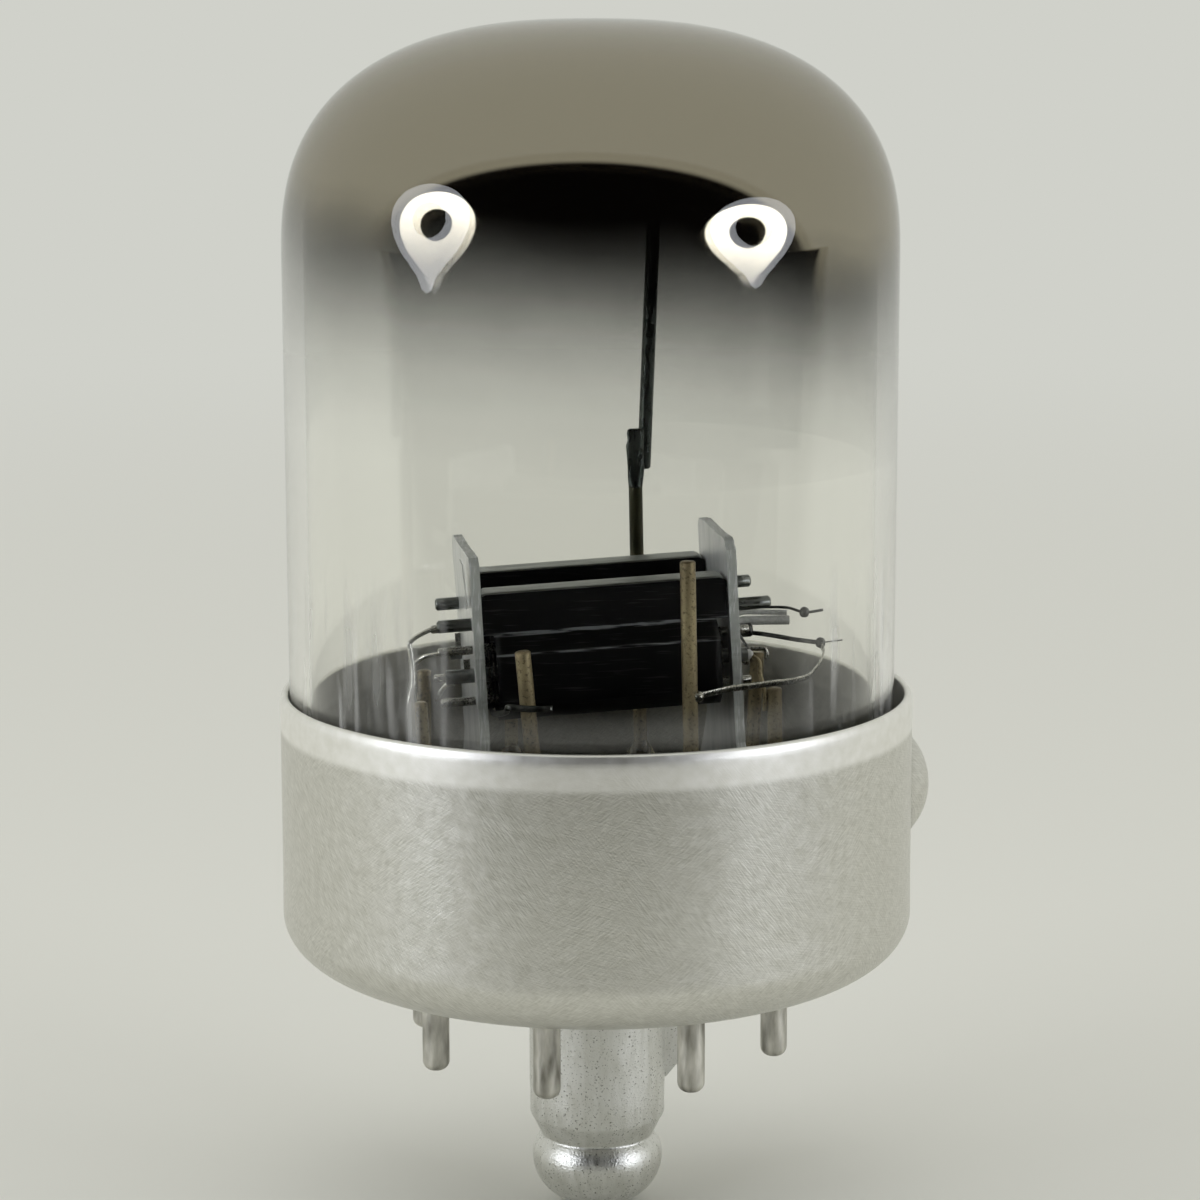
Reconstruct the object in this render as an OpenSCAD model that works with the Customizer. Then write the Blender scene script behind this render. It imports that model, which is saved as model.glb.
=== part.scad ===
// Twin triode vacuum tube on a lock-in base.
// The origin is the centre of the shell's underside, where the tube seats on its socket.
// Z runs up through the bulb, and X points to the key on the locating lug.

/* [Shell] */
// Gap between the bulb and the shell's wall
shell_gap = 0.3; // [0.25:0.05:0.8]
// Height of the shell from its underside to its rim
shell_h = 13.1; // [10:0.1:16]
// Thickness of the shell's sheet metal
shell_wall = 0.4; // [0.3:0.05:0.6]
// How far the rounded lower corner reaches in from the side
corner_in = 3.5; // [2:0.1:4.5]
// How far the rounded lower corner reaches up the side
corner_up = 2.5; // [1.5:0.1:3.2]
// How far the index boss stands out of the shell
boss_out = 1.12; // [0.6:0.05:1.4]
// Radius of the punch that pressed the index boss
boss_r = 3.4; // [2.6:0.1:3.8]
// Height of the middle of the index boss
boss_z = 8; // [6.5:0.1:9]

/* [Locating lug] */
// Outer diameter of the lug's straight stretch
lug_d = 6.56; // [6:0.02:7.4]
// Thickness of the lug's wall
lug_wall = 0.5; // [0.35:0.05:0.7]
// Depth of the lug's straight stretch below the shell
lug_straight = 7.95; // [7.4:0.05:9]
// Height of the seat at the foot of that stretch
lug_seat_h = 1.1; // [0.8:0.05:1.6]
// How much smaller the seat's radius is than the lug's
lug_ease = 0.02; // [0.01:0.01:0.1]
// Height of the taper between the straight stretch and the locking groove
groove_taper = 1.05; // [0.7:0.05:1.4]
// Radius at the bottom of the locking groove
groove_r = 2.72; // [2.5:0.02:2.9]
// Radius of the round end at its widest
bulge_r = 3.15; // [3:0.01:3.25]
// Height from the bottom of the groove down to the widest place of the round end
bulge_drop = 1.15; // [0.9:0.05:1.5]
// Height from the widest place down to the tip of the lug
nose_h = 2.25; // [1.8:0.05:2.8]
// Width of the key
key_w = 1.4; // [1:0.1:2]
// Distance from the axis to the key's outer face
key_r = 4.4; // [4:0.1:5]
// Depth of the key below the shell, where its bevel meets the lug
key_h = 6.2; // [5:0.1:7]
// Diameter of the lug's flange on the shell's floor
flange_d = 10.4; // [9:0.1:12]
// Thickness of that flange
flange_t = 0.4; // [0.3:0.05:0.6]

/* [Pins and leads] */
// Diameter of the pin circle
pin_circle_d = 17.46; // [17:0.02:18.2]
// Diameter of a contact pin
pin_d = 1.27; // [1:0.01:1.5]
// How much a pin's radius falls from the shell's underside up to the weld
pin_taper = 0.02; // [0.01:0.01:0.05]
// How far the pins reach below the shell
pin_out = 4.45; // [3.6:0.05:5.2]
// Radius of the rounding at a pin's tip
pin_round = 0.45; // [0.2:0.05:0.48]
// Gap between a pin and the edge of its hole in the shell
pin_hole_gap = 0.55; // [0.3:0.05:0.8]
// Diameter of the wires that stand on the pins inside the bulb
lead_d = 0.7; // [0.5:0.02:0.9]

/* [Glass] */
// Outer diameter of the bulb
bulb_d = 28.6; // [28:0.1:28.8]
// Thickness of the bulb's wall
bulb_wall = 1; // [0.7:0.1:1.2]
// Height of the top of the dome
bulb_top = 44.3; // [42:0.1:48]
// Height of the domed end
dome_h = 10.8; // [9:0.1:12]
// How square the dome's shoulder is, where 2 is an ellipse
dome_power = 2.5; // [2:0.05:3]
// How far the bulb sits off the shell's axis, away from the key
bulb_shift = 0.22; // [0:0.02:0.22]
// Height of the underside of the pressed glass stem
stem_z = 3.2; // [3:0.1:4]
// Thickness of the stem
stem_t = 3.4; // [2.8:0.1:4]
// Height of the glass fillets on the stem round the leads
fillet_h = 2; // [1:0.1:2.6]
// Radius of a fillet where it meets the stem
fillet_r = 2.2; // [1.6:0.1:2.8]
// Radius of the sealed exhaust tip where it leaves the stem
tip_r = 2; // [1.5:0.1:2.2]
// Height of the exhaust tip below the stem
tip_h = 9; // [6:0.5:11]
// Height of the ring of cement between the bulb and the shell
cement_h = 2.8; // [1.5:0.1:4]

/* [Getter] */
// Thickness of the getter film on the glass
film_t = 0.04; // [0.03:0.01:0.08]
// Height of the lower end of the getter support rod
getter_rod_z = 22.3; // [21.8:0.1:23]
// Diameter of the getter support rod
getter_rod_d = 0.69; // [0.5:0.01:0.8]
// Height of the underside of the getter ring
getter_z = 37.4; // [36:0.1:38.5]
// Mean radius of the getter ring
getter_r = 2.9; // [2.2:0.1:3.2]
// Width and height of the getter ring's channel
getter_channel = 0.9; // [0.6:0.1:1.1]
// Thickness of the getter ring's sheet
getter_sheet = 0.15; // [0.1:0.01:0.2]
// Length of the flattened top of the lower support
pinch_h = 3.1; // [2:0.1:3.5]

/* [Electrode cage] */
// Height of the cage's centre
cage_z = 15; // [14.8:0.1:15.5]
// Angle by which this cage was mounted crooked
cage_tilt = 3; // [0:0.5:4]
// How far the cage sits off the axis, towards the key
cage_shift = 0.05; // [0:0.01:0.15]
// Distance between the inner faces of the two mica plates
mica_gap = 11.5; // [11:0.1:12]
// Thickness of a mica plate
mica_t = 0.45; // [0.25:0.05:0.6]
// Width of a mica plate
mica_w = 7.9; // [7.6:0.1:8.6]
// Height of a mica plate above the cage's centre
mica_up = 5.4; // [4.6:0.05:5.6]
// Width across the feet of a mica plate
mica_foot_w = 13; // [10:0.5:14]
// Distance between the middles of the two triodes
triode_pitch = 5.76; // [5.6:0.02:6]
// Height of a triode's axis above the cage's centre
triode_z = -0.28; // [-0.4:0.02:0]

/* [Electrodes] */
// Thickness of the anode sheet
anode_t = 0.13; // [0.1:0.01:0.18]
// Width across an anode's fin
fin_w = 1.7; // [1.4:0.05:2]
// Width across an anode's chamber
chamber_w = 3.7; // [3.3:0.05:3.8]
// Height of the flat side of an anode's chamber
chamber_flat = 2.35; // [2:0.05:2.5]
// Height of each sloping side of an anode's chamber
chamber_slope = 0.85; // [0.6:0.05:1]
// Height of the top of an anode's fin above the cage's centre
fin_top = 3.66; // [3.3:0.02:4]
// Length of an anode's chamber
chamber_l = 10.3; // [9.8:0.1:10.6]
// Diameter of the rod that carries an anode
anode_rod_d = 0.6; // [0.4:0.02:0.7]
// Height of the anode rods above the cage's centre
anode_rod_z = 2.12; // [2:0.02:2.4]
// Diameter of a grid's side rods
grid_rod_d = 0.4; // [0.3:0.02:0.5]
// Distance between a grid's two side rods
grid_pitch = 2.4; // [2.2:0.02:2.5]
// Diameter of the wire wound round a grid's side rods
grid_wire_d = 0.08; // [0.05:0.01:0.1]
// Number of turns of wire on a grid, drawn coarser than the real winding
grid_turns = 24; // [10:1:28]
// Width across the oval that the winding forms round the cathode
grid_w = 1; // [0.9:0.02:1.2]
// Outer diameter of a cathode sleeve
cathode_d = 0.67; // [0.6:0.01:0.9]
// Thickness of a cathode sleeve's wall
cathode_t = 0.06; // [0.04:0.01:0.08]
// Diameter of a coated heater
heater_d = 0.45; // [0.3:0.01:0.5]

/* [Wiring] */
// Diameter of the round connecting wires
wire_d = 0.22; // [0.16:0.01:0.3]
// Diameter of the beads where two wires are welded
weld_d = 0.55; // [0.4:0.05:0.6]
// Gap round a rod in its hole in the mica
mica_hole_gap = 0.03; // [0.01:0.01:0.05]

/* [Hidden] */
$fn = 64;
bulb_r = bulb_d / 2;
bulb_in_r = bulb_r - bulb_wall;
shell_in_r = bulb_r + shell_gap;
shell_r = shell_in_r + shell_wall;
lug_r = lug_d / 2;
pin_r = pin_d / 2;
lead_r = lead_d / 2;
pin_circle_r = pin_circle_d / 2;
lug_ease_h = 0.55;
first_pin = 22.5;
pin_step = 45;
rim_bevel = 0.1;
flange_top = shell_wall + flange_t;
leg_end = [bulb_in_r - 2.25, 0.8, -0.8];
groove_z = -lug_straight - groove_taper;
bulge_z = groove_z - bulge_drop;
lug_bottom = bulge_z - nose_h;
dome_z = bulb_top - dome_h;
dome_steps = 24;
film_step = 3;
stem_top = stem_z + stem_t;
seal_z = stem_z + 1;
weld_z = stem_top - 1;
fillet_power = 1.3;
tip_end_r = 0.7;
fin_gap = 0.05;
fin_l = mica_gap - 2 * fin_gap;
shoulder_z = triode_z + chamber_flat / 2 + chamber_slope;
mica_down = cage_z - stem_top - 1.1;
foot_z = 4.3;
grid_rod_out = [1.5, 0.6];
anode_rod_ends = [[-7.67, 7.87], [-7.41, 8.05]];
cathode_ends = [[-7.4, 6.65], [-6.82, 6.65]];
ferrule_ends = [7.25, 7.95];
leg_d = 0.26;
// How far the rear heater's legs run out of its sleeve towards the glass, as a share of 4.4 mm.
heater_run = (leg_end[0] - cathode_ends[1][1]) / 4.4;
tab_w = 0.3;
tab_t = 0.12;
tab_h = [0.45, 0.6];
sink = 0.02;
weld_gap = 0.03;

// Where the wires inside the bulb end, one for each pin, counted from the key.
lead_ends = [
    [8.45, 3.34, 13.9],
    [3.05, 8.2, 21.5],
    [-3.34, 8.07, 13.4],
    [-8.02, 3.34, 13.45],
    [-8.57, -3.34, 13.3],
    [-4.29, -8.07, 16.5],
    [3.04, -8.07, 20.4],
    [7.95, -3.25, 13.5]
];

function pin_r_at(z) = pin_r - pin_taper * z / weld_z;
function pin_place(k) = [
    pin_circle_r * cos(first_pin + pin_step * (k - 1)),
    pin_circle_r * sin(first_pin + pin_step * (k - 1))
];
function lead_start(k) = [pin_place(k)[0], pin_place(k)[1], weld_z];
function lead_point(k, z) =
    lead_start(k) + (lead_ends[k - 1] - lead_start(k)) * (z - weld_z) / (lead_ends[k - 1][2] - weld_z);

// A point given in the tilted cage, in the tube's own frame.
function caged(p) = [
    cage_shift + p[0] * cos(cage_tilt) - p[2] * sin(cage_tilt),
    p[1],
    cage_z + p[0] * sin(cage_tilt) + p[2] * cos(cage_tilt)
];

// Outline of the dome for a given radius and height, from its foot to its top.
function dome(r, h) = [
    for (i = [0 : dome_steps])
        let (a = 90 * i / dome_steps)
        [r * pow(cos(a), 2 / dome_power), dome_z + h * pow(sin(a), 2 / dome_power)]
];
function reversed(list) = [for (i = [len(list) - 1 : -1 : 0]) list[i]];
function part_of(list, first, last) = [for (i = [first : last]) list[i]];
function arc(centre, rx, ry, from, to, steps) = [
    for (i = [0 : steps])
        let (a = from + (to - from) * i / steps)
        [centre[0] + rx * cos(a), centre[1] + ry * sin(a)]
];

// A smooth curve through a wire's points, from b to c, with a before and d after them.
function between(a, b, c, d, t) =
    let (leave = unit(c - a) * norm(c - b), arrive = unit(d - b) * norm(c - b))
    b * (2 * t * t * t - 3 * t * t + 1) + leave * (t * t * t - 2 * t * t + t)
        + c * (3 * t * t - 2 * t * t * t) + arrive * (t * t * t - t * t);
function smooth(p, steps) = concat(
    [
        for (i = [0 : len(p) - 2])
            let (a = p[max(i - 1, 0)], d = p[min(i + 2, len(p) - 1)])
            for (s = [0 : steps - 1]) between(a, p[i], p[i + 1], d, s / steps)
    ],
    [p[len(p) - 1]]
);
function unit(v) = v / norm(v);
function heading(p, i) = unit(p[min(i + 1, len(p) - 1)] - p[max(i - 1, 0)]);
function across(p, i, side) =
    let (h = heading(p, i), s = side - (side * h) * h)
    unit(s);
function sides(p, i = 0, side = [0.1, 0.3, 1]) =
    i == len(p) ? [] : concat([across(p, i, side)], sides(p, i + 1, across(p, i, side)));

// A round wire of diameter d along points p, or a ribbon if its two widths differ.
module wire(p, d = wire_d, d2 = 0, steps = 4, n = 8) {
    q = smooth(p, steps);
    u = sides(q);
    last = len(q) - 1;
    w = d2 > 0 ? d2 : d;
    rings = [
        for (i = [0 : last])
            let (v = cross(heading(q, i), u[i]))
            for (k = [0 : n - 1])
                q[i] + u[i] * cos(360 * k / n) * d / 2 + v * sin(360 * k / n) * w / 2
    ];
    walls = [
        for (i = [0 : last - 1])
            for (k = [0 : n - 1])
                let (a = i * n + k, b = i * n + (k + 1) % n)
                for (t = [[a, b, b + n], [a, b + n, a + n]]) t
    ];
    ends = [
        for (k = [1 : n - 2]) [0, k + 1, k],
        for (k = [1 : n - 2]) [last * n, last * n + k, last * n + k + 1]
    ];
    polyhedron(points = rings, faces = [for (f = concat(walls, ends)) reversed(f)], convexity = 6);
}

// A round rod from a to b, with its far end bevelled.
module strut(a, b, d, bevel = 0) {
    v = b - a;
    l = norm(v);
    translate(a)
        rotate([0, acos(v[2] / l), atan2(v[1], v[0])])
            rotate_extrude()
                polygon([[0, 0], [d / 2, 0], [d / 2, l - bevel], [d / 2 - bevel, l], [0, l]]);
}

// Puts its children at the cage's centre, at the cage's tilt.
module in_cage() {
    translate([cage_shift, 0, cage_z]) rotate([0, -cage_tilt, 0]) children();
}

// Puts its children on a triode's axis, front is -1 and rear is 1.
module at_triode(side) {
    in_cage() translate([0, side * triode_pitch / 2, 0]) children();
}

// A rod along the cage from x0 to x1, with both ends rounded.
module cross_rod(x0, x1, z, d, round_end) {
    l = x1 - x0;
    r = d / 2;
    e = round_end;
    translate([x0, 0, z])
        rotate([0, 90, 0])
            rotate_extrude()
                polygon(concat(
                    [[0, 0]],
                    arc([r - e, e], e, e, -90, 0, 5),
                    arc([r - e, l - e], e, e, 0, 90, 5),
                    [[0, l]]
                ));
}

module base_shell() {
    outside = arc([shell_r - corner_in, corner_up], corner_in, corner_up, -90, 0, 12);
    inside = arc(
        [shell_r - corner_in, corner_up], corner_in - shell_wall, corner_up - shell_wall, -90, 0, 12);
    boss_x = shell_r + boss_out - boss_r;
    color("silver")
        difference() {
            union() {
                rotate_extrude()
                    polygon(concat(
                        [[lug_r, 0]],
                        outside,
                        [
                            [shell_r, shell_h - rim_bevel],
                            [shell_r - rim_bevel, shell_h],
                            [shell_in_r + rim_bevel, shell_h],
                            [shell_in_r, shell_h - rim_bevel]
                        ],
                        reversed(inside),
                        [[lug_r, shell_wall]]
                    ));
                difference() {
                    translate([boss_x, 0, boss_z]) sphere(boss_r);
                    cylinder(r = shell_in_r, h = shell_h);
                }
            }
            translate([boss_x, 0, boss_z]) sphere(boss_r - shell_wall);
            for (k = [1 : 8])
                translate([pin_place(k)[0], pin_place(k)[1], -1])
                    cylinder(r = pin_r + pin_hole_gap, h = shell_wall + 2);
        }
}

module locating_lug() {
    end_in = 0.8;
    bulge_a = bulge_r - end_in;
    groove_a = acos((groove_r - end_in) / bulge_a);
    bulge_b = bulge_drop / sin(groove_a);
    round_end = concat(
        arc([end_in, bulge_z], bulge_a, bulge_b, groove_a, 0, 8),
        arc([end_in, bulge_z], bulge_a, nose_h, -9, -90, 9)
    );
    hollow = arc([0, bulge_z], bulge_r - lug_wall, nose_h - lug_wall, -90, 0, 9);
    color("gainsboro")
        union() {
            rotate_extrude()
                polygon(concat(
                    [
                        [lug_r - lug_wall, flange_top],
                        [flange_d / 2, flange_top],
                        [flange_d / 2, shell_wall],
                        [lug_r, shell_wall],
                        [lug_r, lug_seat_h + lug_ease_h - lug_straight],
                        [lug_r - lug_ease, lug_seat_h - lug_straight],
                        [lug_r - lug_ease, -lug_straight]
                    ],
                    round_end,
                    [[0, lug_bottom]],
                    hollow,
                    [
                        [groove_r - lug_wall, groove_z],
                        [lug_r - lug_wall, -lug_straight]
                    ]
                ));
            rotate([90, 0, 0])
                linear_extrude(key_w, center = true)
                    polygon([
                        [lug_r - lug_wall / 2, 0],
                        [key_r, 0],
                        [key_r, -key_h + key_r - lug_r],
                        [lug_r, -key_h],
                        [lug_r - lug_wall / 2, -key_h]
                    ]);
        }
}

module base_cement() {
    color("tan")
        difference() {
            translate([0, 0, stem_z]) cylinder(r = shell_in_r, h = cement_h);
            translate([-bulb_shift, 0, stem_z - 1]) cylinder(r = bulb_r, h = cement_h + 2);
        }
}

// The part of a pin below the weld, which the glass holds.
module pin(k) {
    r = pin_round;
    color("darkgray") translate([pin_place(k)[0], pin_place(k)[1], 0])
        rotate_extrude()
            polygon(concat(
                [[0, -pin_out]],
                arc([pin_r - r, r - pin_out], r, r, -90, 0, 6),
                [[pin_r, 0], [pin_r_at(weld_z), weld_z], [0, weld_z]]
            ));
}

// The wire that stands on a pin, cut level at the weld.
module lead(k) {
    below = 2;
    color("darkgoldenrod")
        difference() {
            lead_core(k);
            translate([pin_place(k)[0], pin_place(k)[1], weld_z - below])
                cylinder(r = pin_d, h = below);
        }
}

module lead_core(k) {
    strut(lead_point(k, weld_z - 1), lead_ends[k - 1], lead_d, 0.06);
}

// The glass that climbs round a lead, aligned with the lead.
module fillet(k) {
    steps = 6;
    v = lead_ends[k - 1] - lead_start(k);
    translate(lead_point(k, stem_top))
        rotate([0, acos(v[2] / norm(v)), atan2(v[1], v[0])])
            rotate_extrude()
                polygon(concat(
                    [[0, -0.5], [fillet_r, -0.5]],
                    [
                        for (i = [0 : steps])
                            let (s = i / steps)
                            [
                                lead_r + 0.06 + (fillet_r - lead_r) * pow(1 - s, fillet_power),
                                fillet_h * s
                            ]
                    ],
                    [[0, fillet_h]]
                ));
}

module glass_stem() {
    edge = 0.7;
    color("lightcyan")
        difference() {
            union() {
                translate([-bulb_shift, 0, 0])
                    rotate_extrude()
                        polygon([
                            [0, stem_z],
                            [bulb_r - edge, stem_z],
                            [bulb_r, stem_z + edge],
                            [bulb_r, seal_z],
                            [bulb_in_r, seal_z],
                            [bulb_in_r, stem_top],
                            [0, stem_top]
                        ]);
                for (k = [1 : 8]) fillet(k);
                rotate_extrude()
                    polygon(concat(
                        [[0, stem_z + 0.5], [tip_r, stem_z + 0.5], [tip_r, stem_z]],
                        arc([0, stem_z - tip_h + tip_end_r], tip_end_r, tip_end_r, 0, -90, 6)
                    ));
            }
            for (k = [1 : 8])
                translate([pin_place(k)[0], pin_place(k)[1], stem_z - 1])
                    cylinder(
                        r1 = pin_r_at(stem_z - 1), r2 = pin_r_at(weld_z), h = weld_z - stem_z + 1);
            for (k = [1 : 8]) lead_core(k);
        }
}

module glass_bulb() {
    outer = dome(bulb_r, dome_h);
    inner = dome(bulb_in_r, dome_h - bulb_wall);
    color("lightblue", 0.4)
        translate([-bulb_shift, 0, 0])
            rotate_extrude()
                polygon(concat(
                    [[bulb_in_r, seal_z], [bulb_r, seal_z]],
                    outer,
                    reversed(inner)
                ));
}

module getter_film() {
    outer = dome(bulb_in_r, dome_h - bulb_wall);
    inner = dome(bulb_in_r - film_t, dome_h - bulb_wall - film_t);
    color("dimgray")
        translate([-bulb_shift, 0, 0])
            rotate_extrude()
                polygon(concat(
                    part_of(outer, film_step, dome_steps),
                    reversed(part_of(inner, film_step, dome_steps))
                ));
}

// The lower getter support is the lead of pin 2, flattened at its top.
pinch_w = 0.9;
pinch_t = 0.36;
pinch_base = lead_ends[1];
rod_foot = [pinch_base[0] + 0.5, pinch_base[1] + (pinch_t + getter_rod_d) / 2, getter_rod_z];
rod_head = [rod_foot[0] + 0.6, rod_foot[1], getter_z];
ring_centre = [
    rod_head[0] * (1 - getter_r / norm([rod_head[0], rod_head[1]])),
    rod_head[1] * (1 - getter_r / norm([rod_head[0], rod_head[1]]))
];

module lead_2() {
    color("darkkhaki")
        union() {
            difference() {
                lead(2);
                translate([pinch_base[0] - 1, pinch_base[1] - 1, pinch_base[2] - 0.3]) cube([2, 2, 1]);
            }
            translate([pinch_base[0] - pinch_w / 2, pinch_base[1] - pinch_t / 2, pinch_base[2] - 0.4])
                cube([pinch_w, pinch_t, pinch_h + 0.4]);
        }
}

module getter_rod() {
    color("slategray")
        difference() {
            strut(rod_foot, rod_head, getter_rod_d);
            translate([0, 0, getter_z]) linear_extrude(2) square(30, center = true);
        }
}

module getter() {
    w = getter_channel / 2;
    color("gray")
        translate([ring_centre[0], ring_centre[1], getter_z])
            rotate_extrude()
                polygon([
                    [getter_r - w, 0],
                    [getter_r + w, 0],
                    [getter_r + w, 2 * w],
                    [getter_r + w - getter_sheet, 2 * w],
                    [getter_r + w - getter_sheet, getter_sheet],
                    [getter_r - w + getter_sheet, getter_sheet],
                    [getter_r - w + getter_sheet, 2 * w],
                    [getter_r - w, 2 * w]
                ]);
}

// A mica plate across the cage, with a hole for each rod and sleeve.
module mica(x) {
    w = mica_w / 2;
    f = mica_foot_w / 2;
    top = mica_up;
    color("lightgray")
        in_cage()
            translate([x, 0, 0])
                difference() {
                    rotate([90, 0, 90])
                        linear_extrude(mica_t)
                            polygon([
                                [-w + 0.4, top],
                                [w - 0.4, top],
                                [w, top - 0.4],
                                [w, -foot_z],
                                [f, -mica_down + 0.3],
                                [f - 0.3, -mica_down],
                                [0.3 - f, -mica_down],
                                [-f, -mica_down + 0.3],
                                [-w, -foot_z],
                                [-w, top - 0.4]
                            ]);
                    for (side = [-1, 1])
                        translate([-1, side * triode_pitch / 2, 0])
                            rotate([0, 90, 0]) {
                                translate([-anode_rod_z, 0, 0])
                                    cylinder(r = anode_rod_d / 2 + mica_hole_gap, h = 3);
                                translate([-triode_z, 0, 0])
                                    cylinder(r = cathode_d / 2 + mica_hole_gap, h = 3);
                                for (s = [-1, 1])
                                    translate([-triode_z + s * grid_pitch / 2, 0, 0])
                                        cylinder(r = grid_rod_d / 2 + mica_hole_gap, h = 3);
                            }
                }
}

// One corner list of the anode's folded sheet, set in from the outside by inset.
function anode_section(inset) =
    let (
        slope = atan2((chamber_w - fin_w) / 2, chamber_slope),
        shift = inset * tan(slope / 2),
        fin = fin_w / 2 - inset,
        wide = chamber_w / 2 - inset,
        flat = chamber_flat / 2,
        low = flat + chamber_slope
    )
    [
        [fin, fin_top - inset],
        [fin, triode_z + low - shift],
        [wide, triode_z + flat - shift],
        [wide, triode_z - flat + shift],
        [fin, triode_z - low + inset],
        [-fin, triode_z - low + inset],
        [-wide, triode_z - flat + shift],
        [-wide, triode_z + flat - shift],
        [-fin, triode_z + low - shift],
        [-fin, fin_top - inset]
    ];

// One folded sheet: a fin that reaches from plate to plate, and a shorter chamber below it.
module anode(side) {
    fin = fin_w / 2;
    color([0.13, 0.14, 0.15])
        at_triode(side)
            union() {
                rotate([90, 0, 90])
                    linear_extrude(chamber_l, center = true)
                        difference() {
                            polygon(anode_section(0));
                            polygon(anode_section(anode_t));
                        }
                rotate([90, 0, 90])
                    linear_extrude(fin_l, center = true)
                        polygon([
                            [-fin, shoulder_z],
                            [-fin, fin_top],
                            [fin, fin_top],
                            [fin, shoulder_z],
                            [fin - anode_t, shoulder_z],
                            [fin - anode_t, fin_top - anode_t],
                            [anode_t - fin, fin_top - anode_t],
                            [anode_t - fin, shoulder_z]
                        ]);
                for (x = [-fin_l / 2 + anode_t, fin_l / 2 - 2 * anode_t])
                    difference() {
                        translate([x, -fin + anode_t, shoulder_z])
                            cube([anode_t, fin_w - 2 * anode_t, 2 * (anode_rod_z - shoulder_z)]);
                        translate([x - 1, 0, anode_rod_z])
                            rotate([0, 90, 0]) cylinder(d = anode_rod_d, h = 3);
                    }
            }
}

module anode_rod(side) {
    ends = anode_rod_ends[side < 0 ? 0 : 1];
    color("dimgray")
        at_triode(side) cross_rod(ends[0], ends[1], anode_rod_z, anode_rod_d, 0.25);
}

// Two side rods with wire wound round both, one oval loop for each turn.
module grid(side) {
    reach = (mica_gap - 0.5) / 2;
    color("silver")
        at_triode(side)
            union() {
                grid_rods();
                for (i = [0 : grid_turns - 1])
                    translate([-reach + 2 * reach * i / (grid_turns - 1), 0, triode_z])
                        rotate([90, 0, 90])
                            grid_loop();
            }
}

module grid_rods() {
    x0 = -mica_gap / 2 - mica_t - grid_rod_out[0];
    x1 = mica_gap / 2 + mica_t + grid_rod_out[1];
    for (s = [-1, 1]) cross_rod(x0, x1, triode_z + s * grid_pitch / 2, grid_rod_d, 0.08);
}

module grid_loop() {
    linear_extrude(grid_wire_d, center = true)
        difference() {
            oval(grid_w / 2);
            oval(grid_w / 2 - grid_wire_d);
        }
}

module oval(r) {
    rise = (grid_pitch + grid_rod_d - grid_w) / 2 + grid_wire_d - sink;
    for (s = [-1, 1]) translate([0, s * rise]) circle(r);
    square([2 * r, 2 * rise], center = true);
}

module cathode(side) {
    ends = cathode_ends[side < 0 ? 0 : 1];
    bore = cathode_d - 2 * cathode_t;
    color("lightgray")
        at_triode(side)
            translate([ends[0], 0, triode_z])
                rotate([0, 90, 0])
                    difference() {
                        cylinder(d = cathode_d, h = ends[1] - ends[0]);
                        translate([0, 0, -1]) cylinder(d = bore, h = ends[1] - ends[0] + 2);
                    }
}

// A nickel tab that stands on a cathode sleeve outside the left plate.
module cathode_tab(side) {
    x = -mica_gap / 2 - mica_t - tab_w - 0.05;
    r = cathode_d / 2;
    color("silver")
        at_triode(side)
            translate([x, 0, triode_z])
                difference() {
                    translate([0, -tab_t / 2, 0]) cube([tab_w, tab_t, r + tab_h[side < 0 ? 0 : 1]]);
                    translate([-1, 0, 0]) rotate([0, 90, 0]) cylinder(r = r, h = 3);
                }
}

// The coated heater of the front triode lies inside its sleeve.
module heater_front() {
    ends = cathode_ends[0];
    color("white")
        at_triode(-1) cross_rod(ends[0] + 0.3, ends[1] + 0.3, triode_z, heater_d, 0.15);
}

// The coated heater of the rear triode leaves its sleeve, with both legs cranked up and outwards.
module heater_rear() {
    y = triode_pitch / 2;
    ends = cathode_ends[1];
    run = heater_run;
    color("white")
        union() {
            wire([
                caged([ends[0] + 0.3, y, triode_z]),
                caged([0, y, triode_z]),
                caged([ends[1] - 0.3, y, triode_z]),
                caged([ends[1] + 0.25, y + 0.07, triode_z + 0.1]),
                caged([ends[1] + 0.85 * run, y + 0.2, 0.1]),
                caged([ends[1] + 1.55 * run, y + 0.2, 0.1]),
                caged([ends[1] + 3.31 * run, y + 0.2, -0.02])
            ], d = heater_d, steps = 3, n = 12);
            wire([
                caged([ends[1] + 0.3, y + 0.1, triode_z + 0.1]),
                caged([ends[1] + 0.5 * run, y + 0.15, 0.32]),
                caged([ends[1] + 0.95 * run, y + 0.22, 0.53]),
                caged([ends[1] + 1.75 * run, y + 0.22, 0.49]),
                caged([ends[1] + 3.21 * run, y + 0.22, 0.35])
            ], d = leg_d, steps = 3);
        }
}

// The sleeve crimped on a leg of the rear heater, with the leg and its weld.
module heater_leg() {
    y = triode_pitch / 2 - 0.42;
    z = -0.22;
    color("gray")
        union() {
            in_cage()
                translate([0, y, 0]) cross_rod(ferrule_ends[0], ferrule_ends[1], z, cathode_d, 0.08);
            wire([
                caged([ferrule_ends[1] - 0.3, y, z - 0.12]),
                caged([ferrule_ends[1] + 0.3, y - 0.1, z - 0.2]),
                caged([9, 2, -0.53]),
                caged(leg_end + [-1.05, 0.7, 0.1]),
                caged(leg_end)
            ], d = wire_d);
            translate(caged(leg_end)) sphere(d = weld_d);
            wire([
                caged(leg_end),
                caged(leg_end + [0.7, 0, 0.02]),
                caged(leg_end + [1.2, 0, 0.03])
            ], d = 0.07);
        }
}

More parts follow.
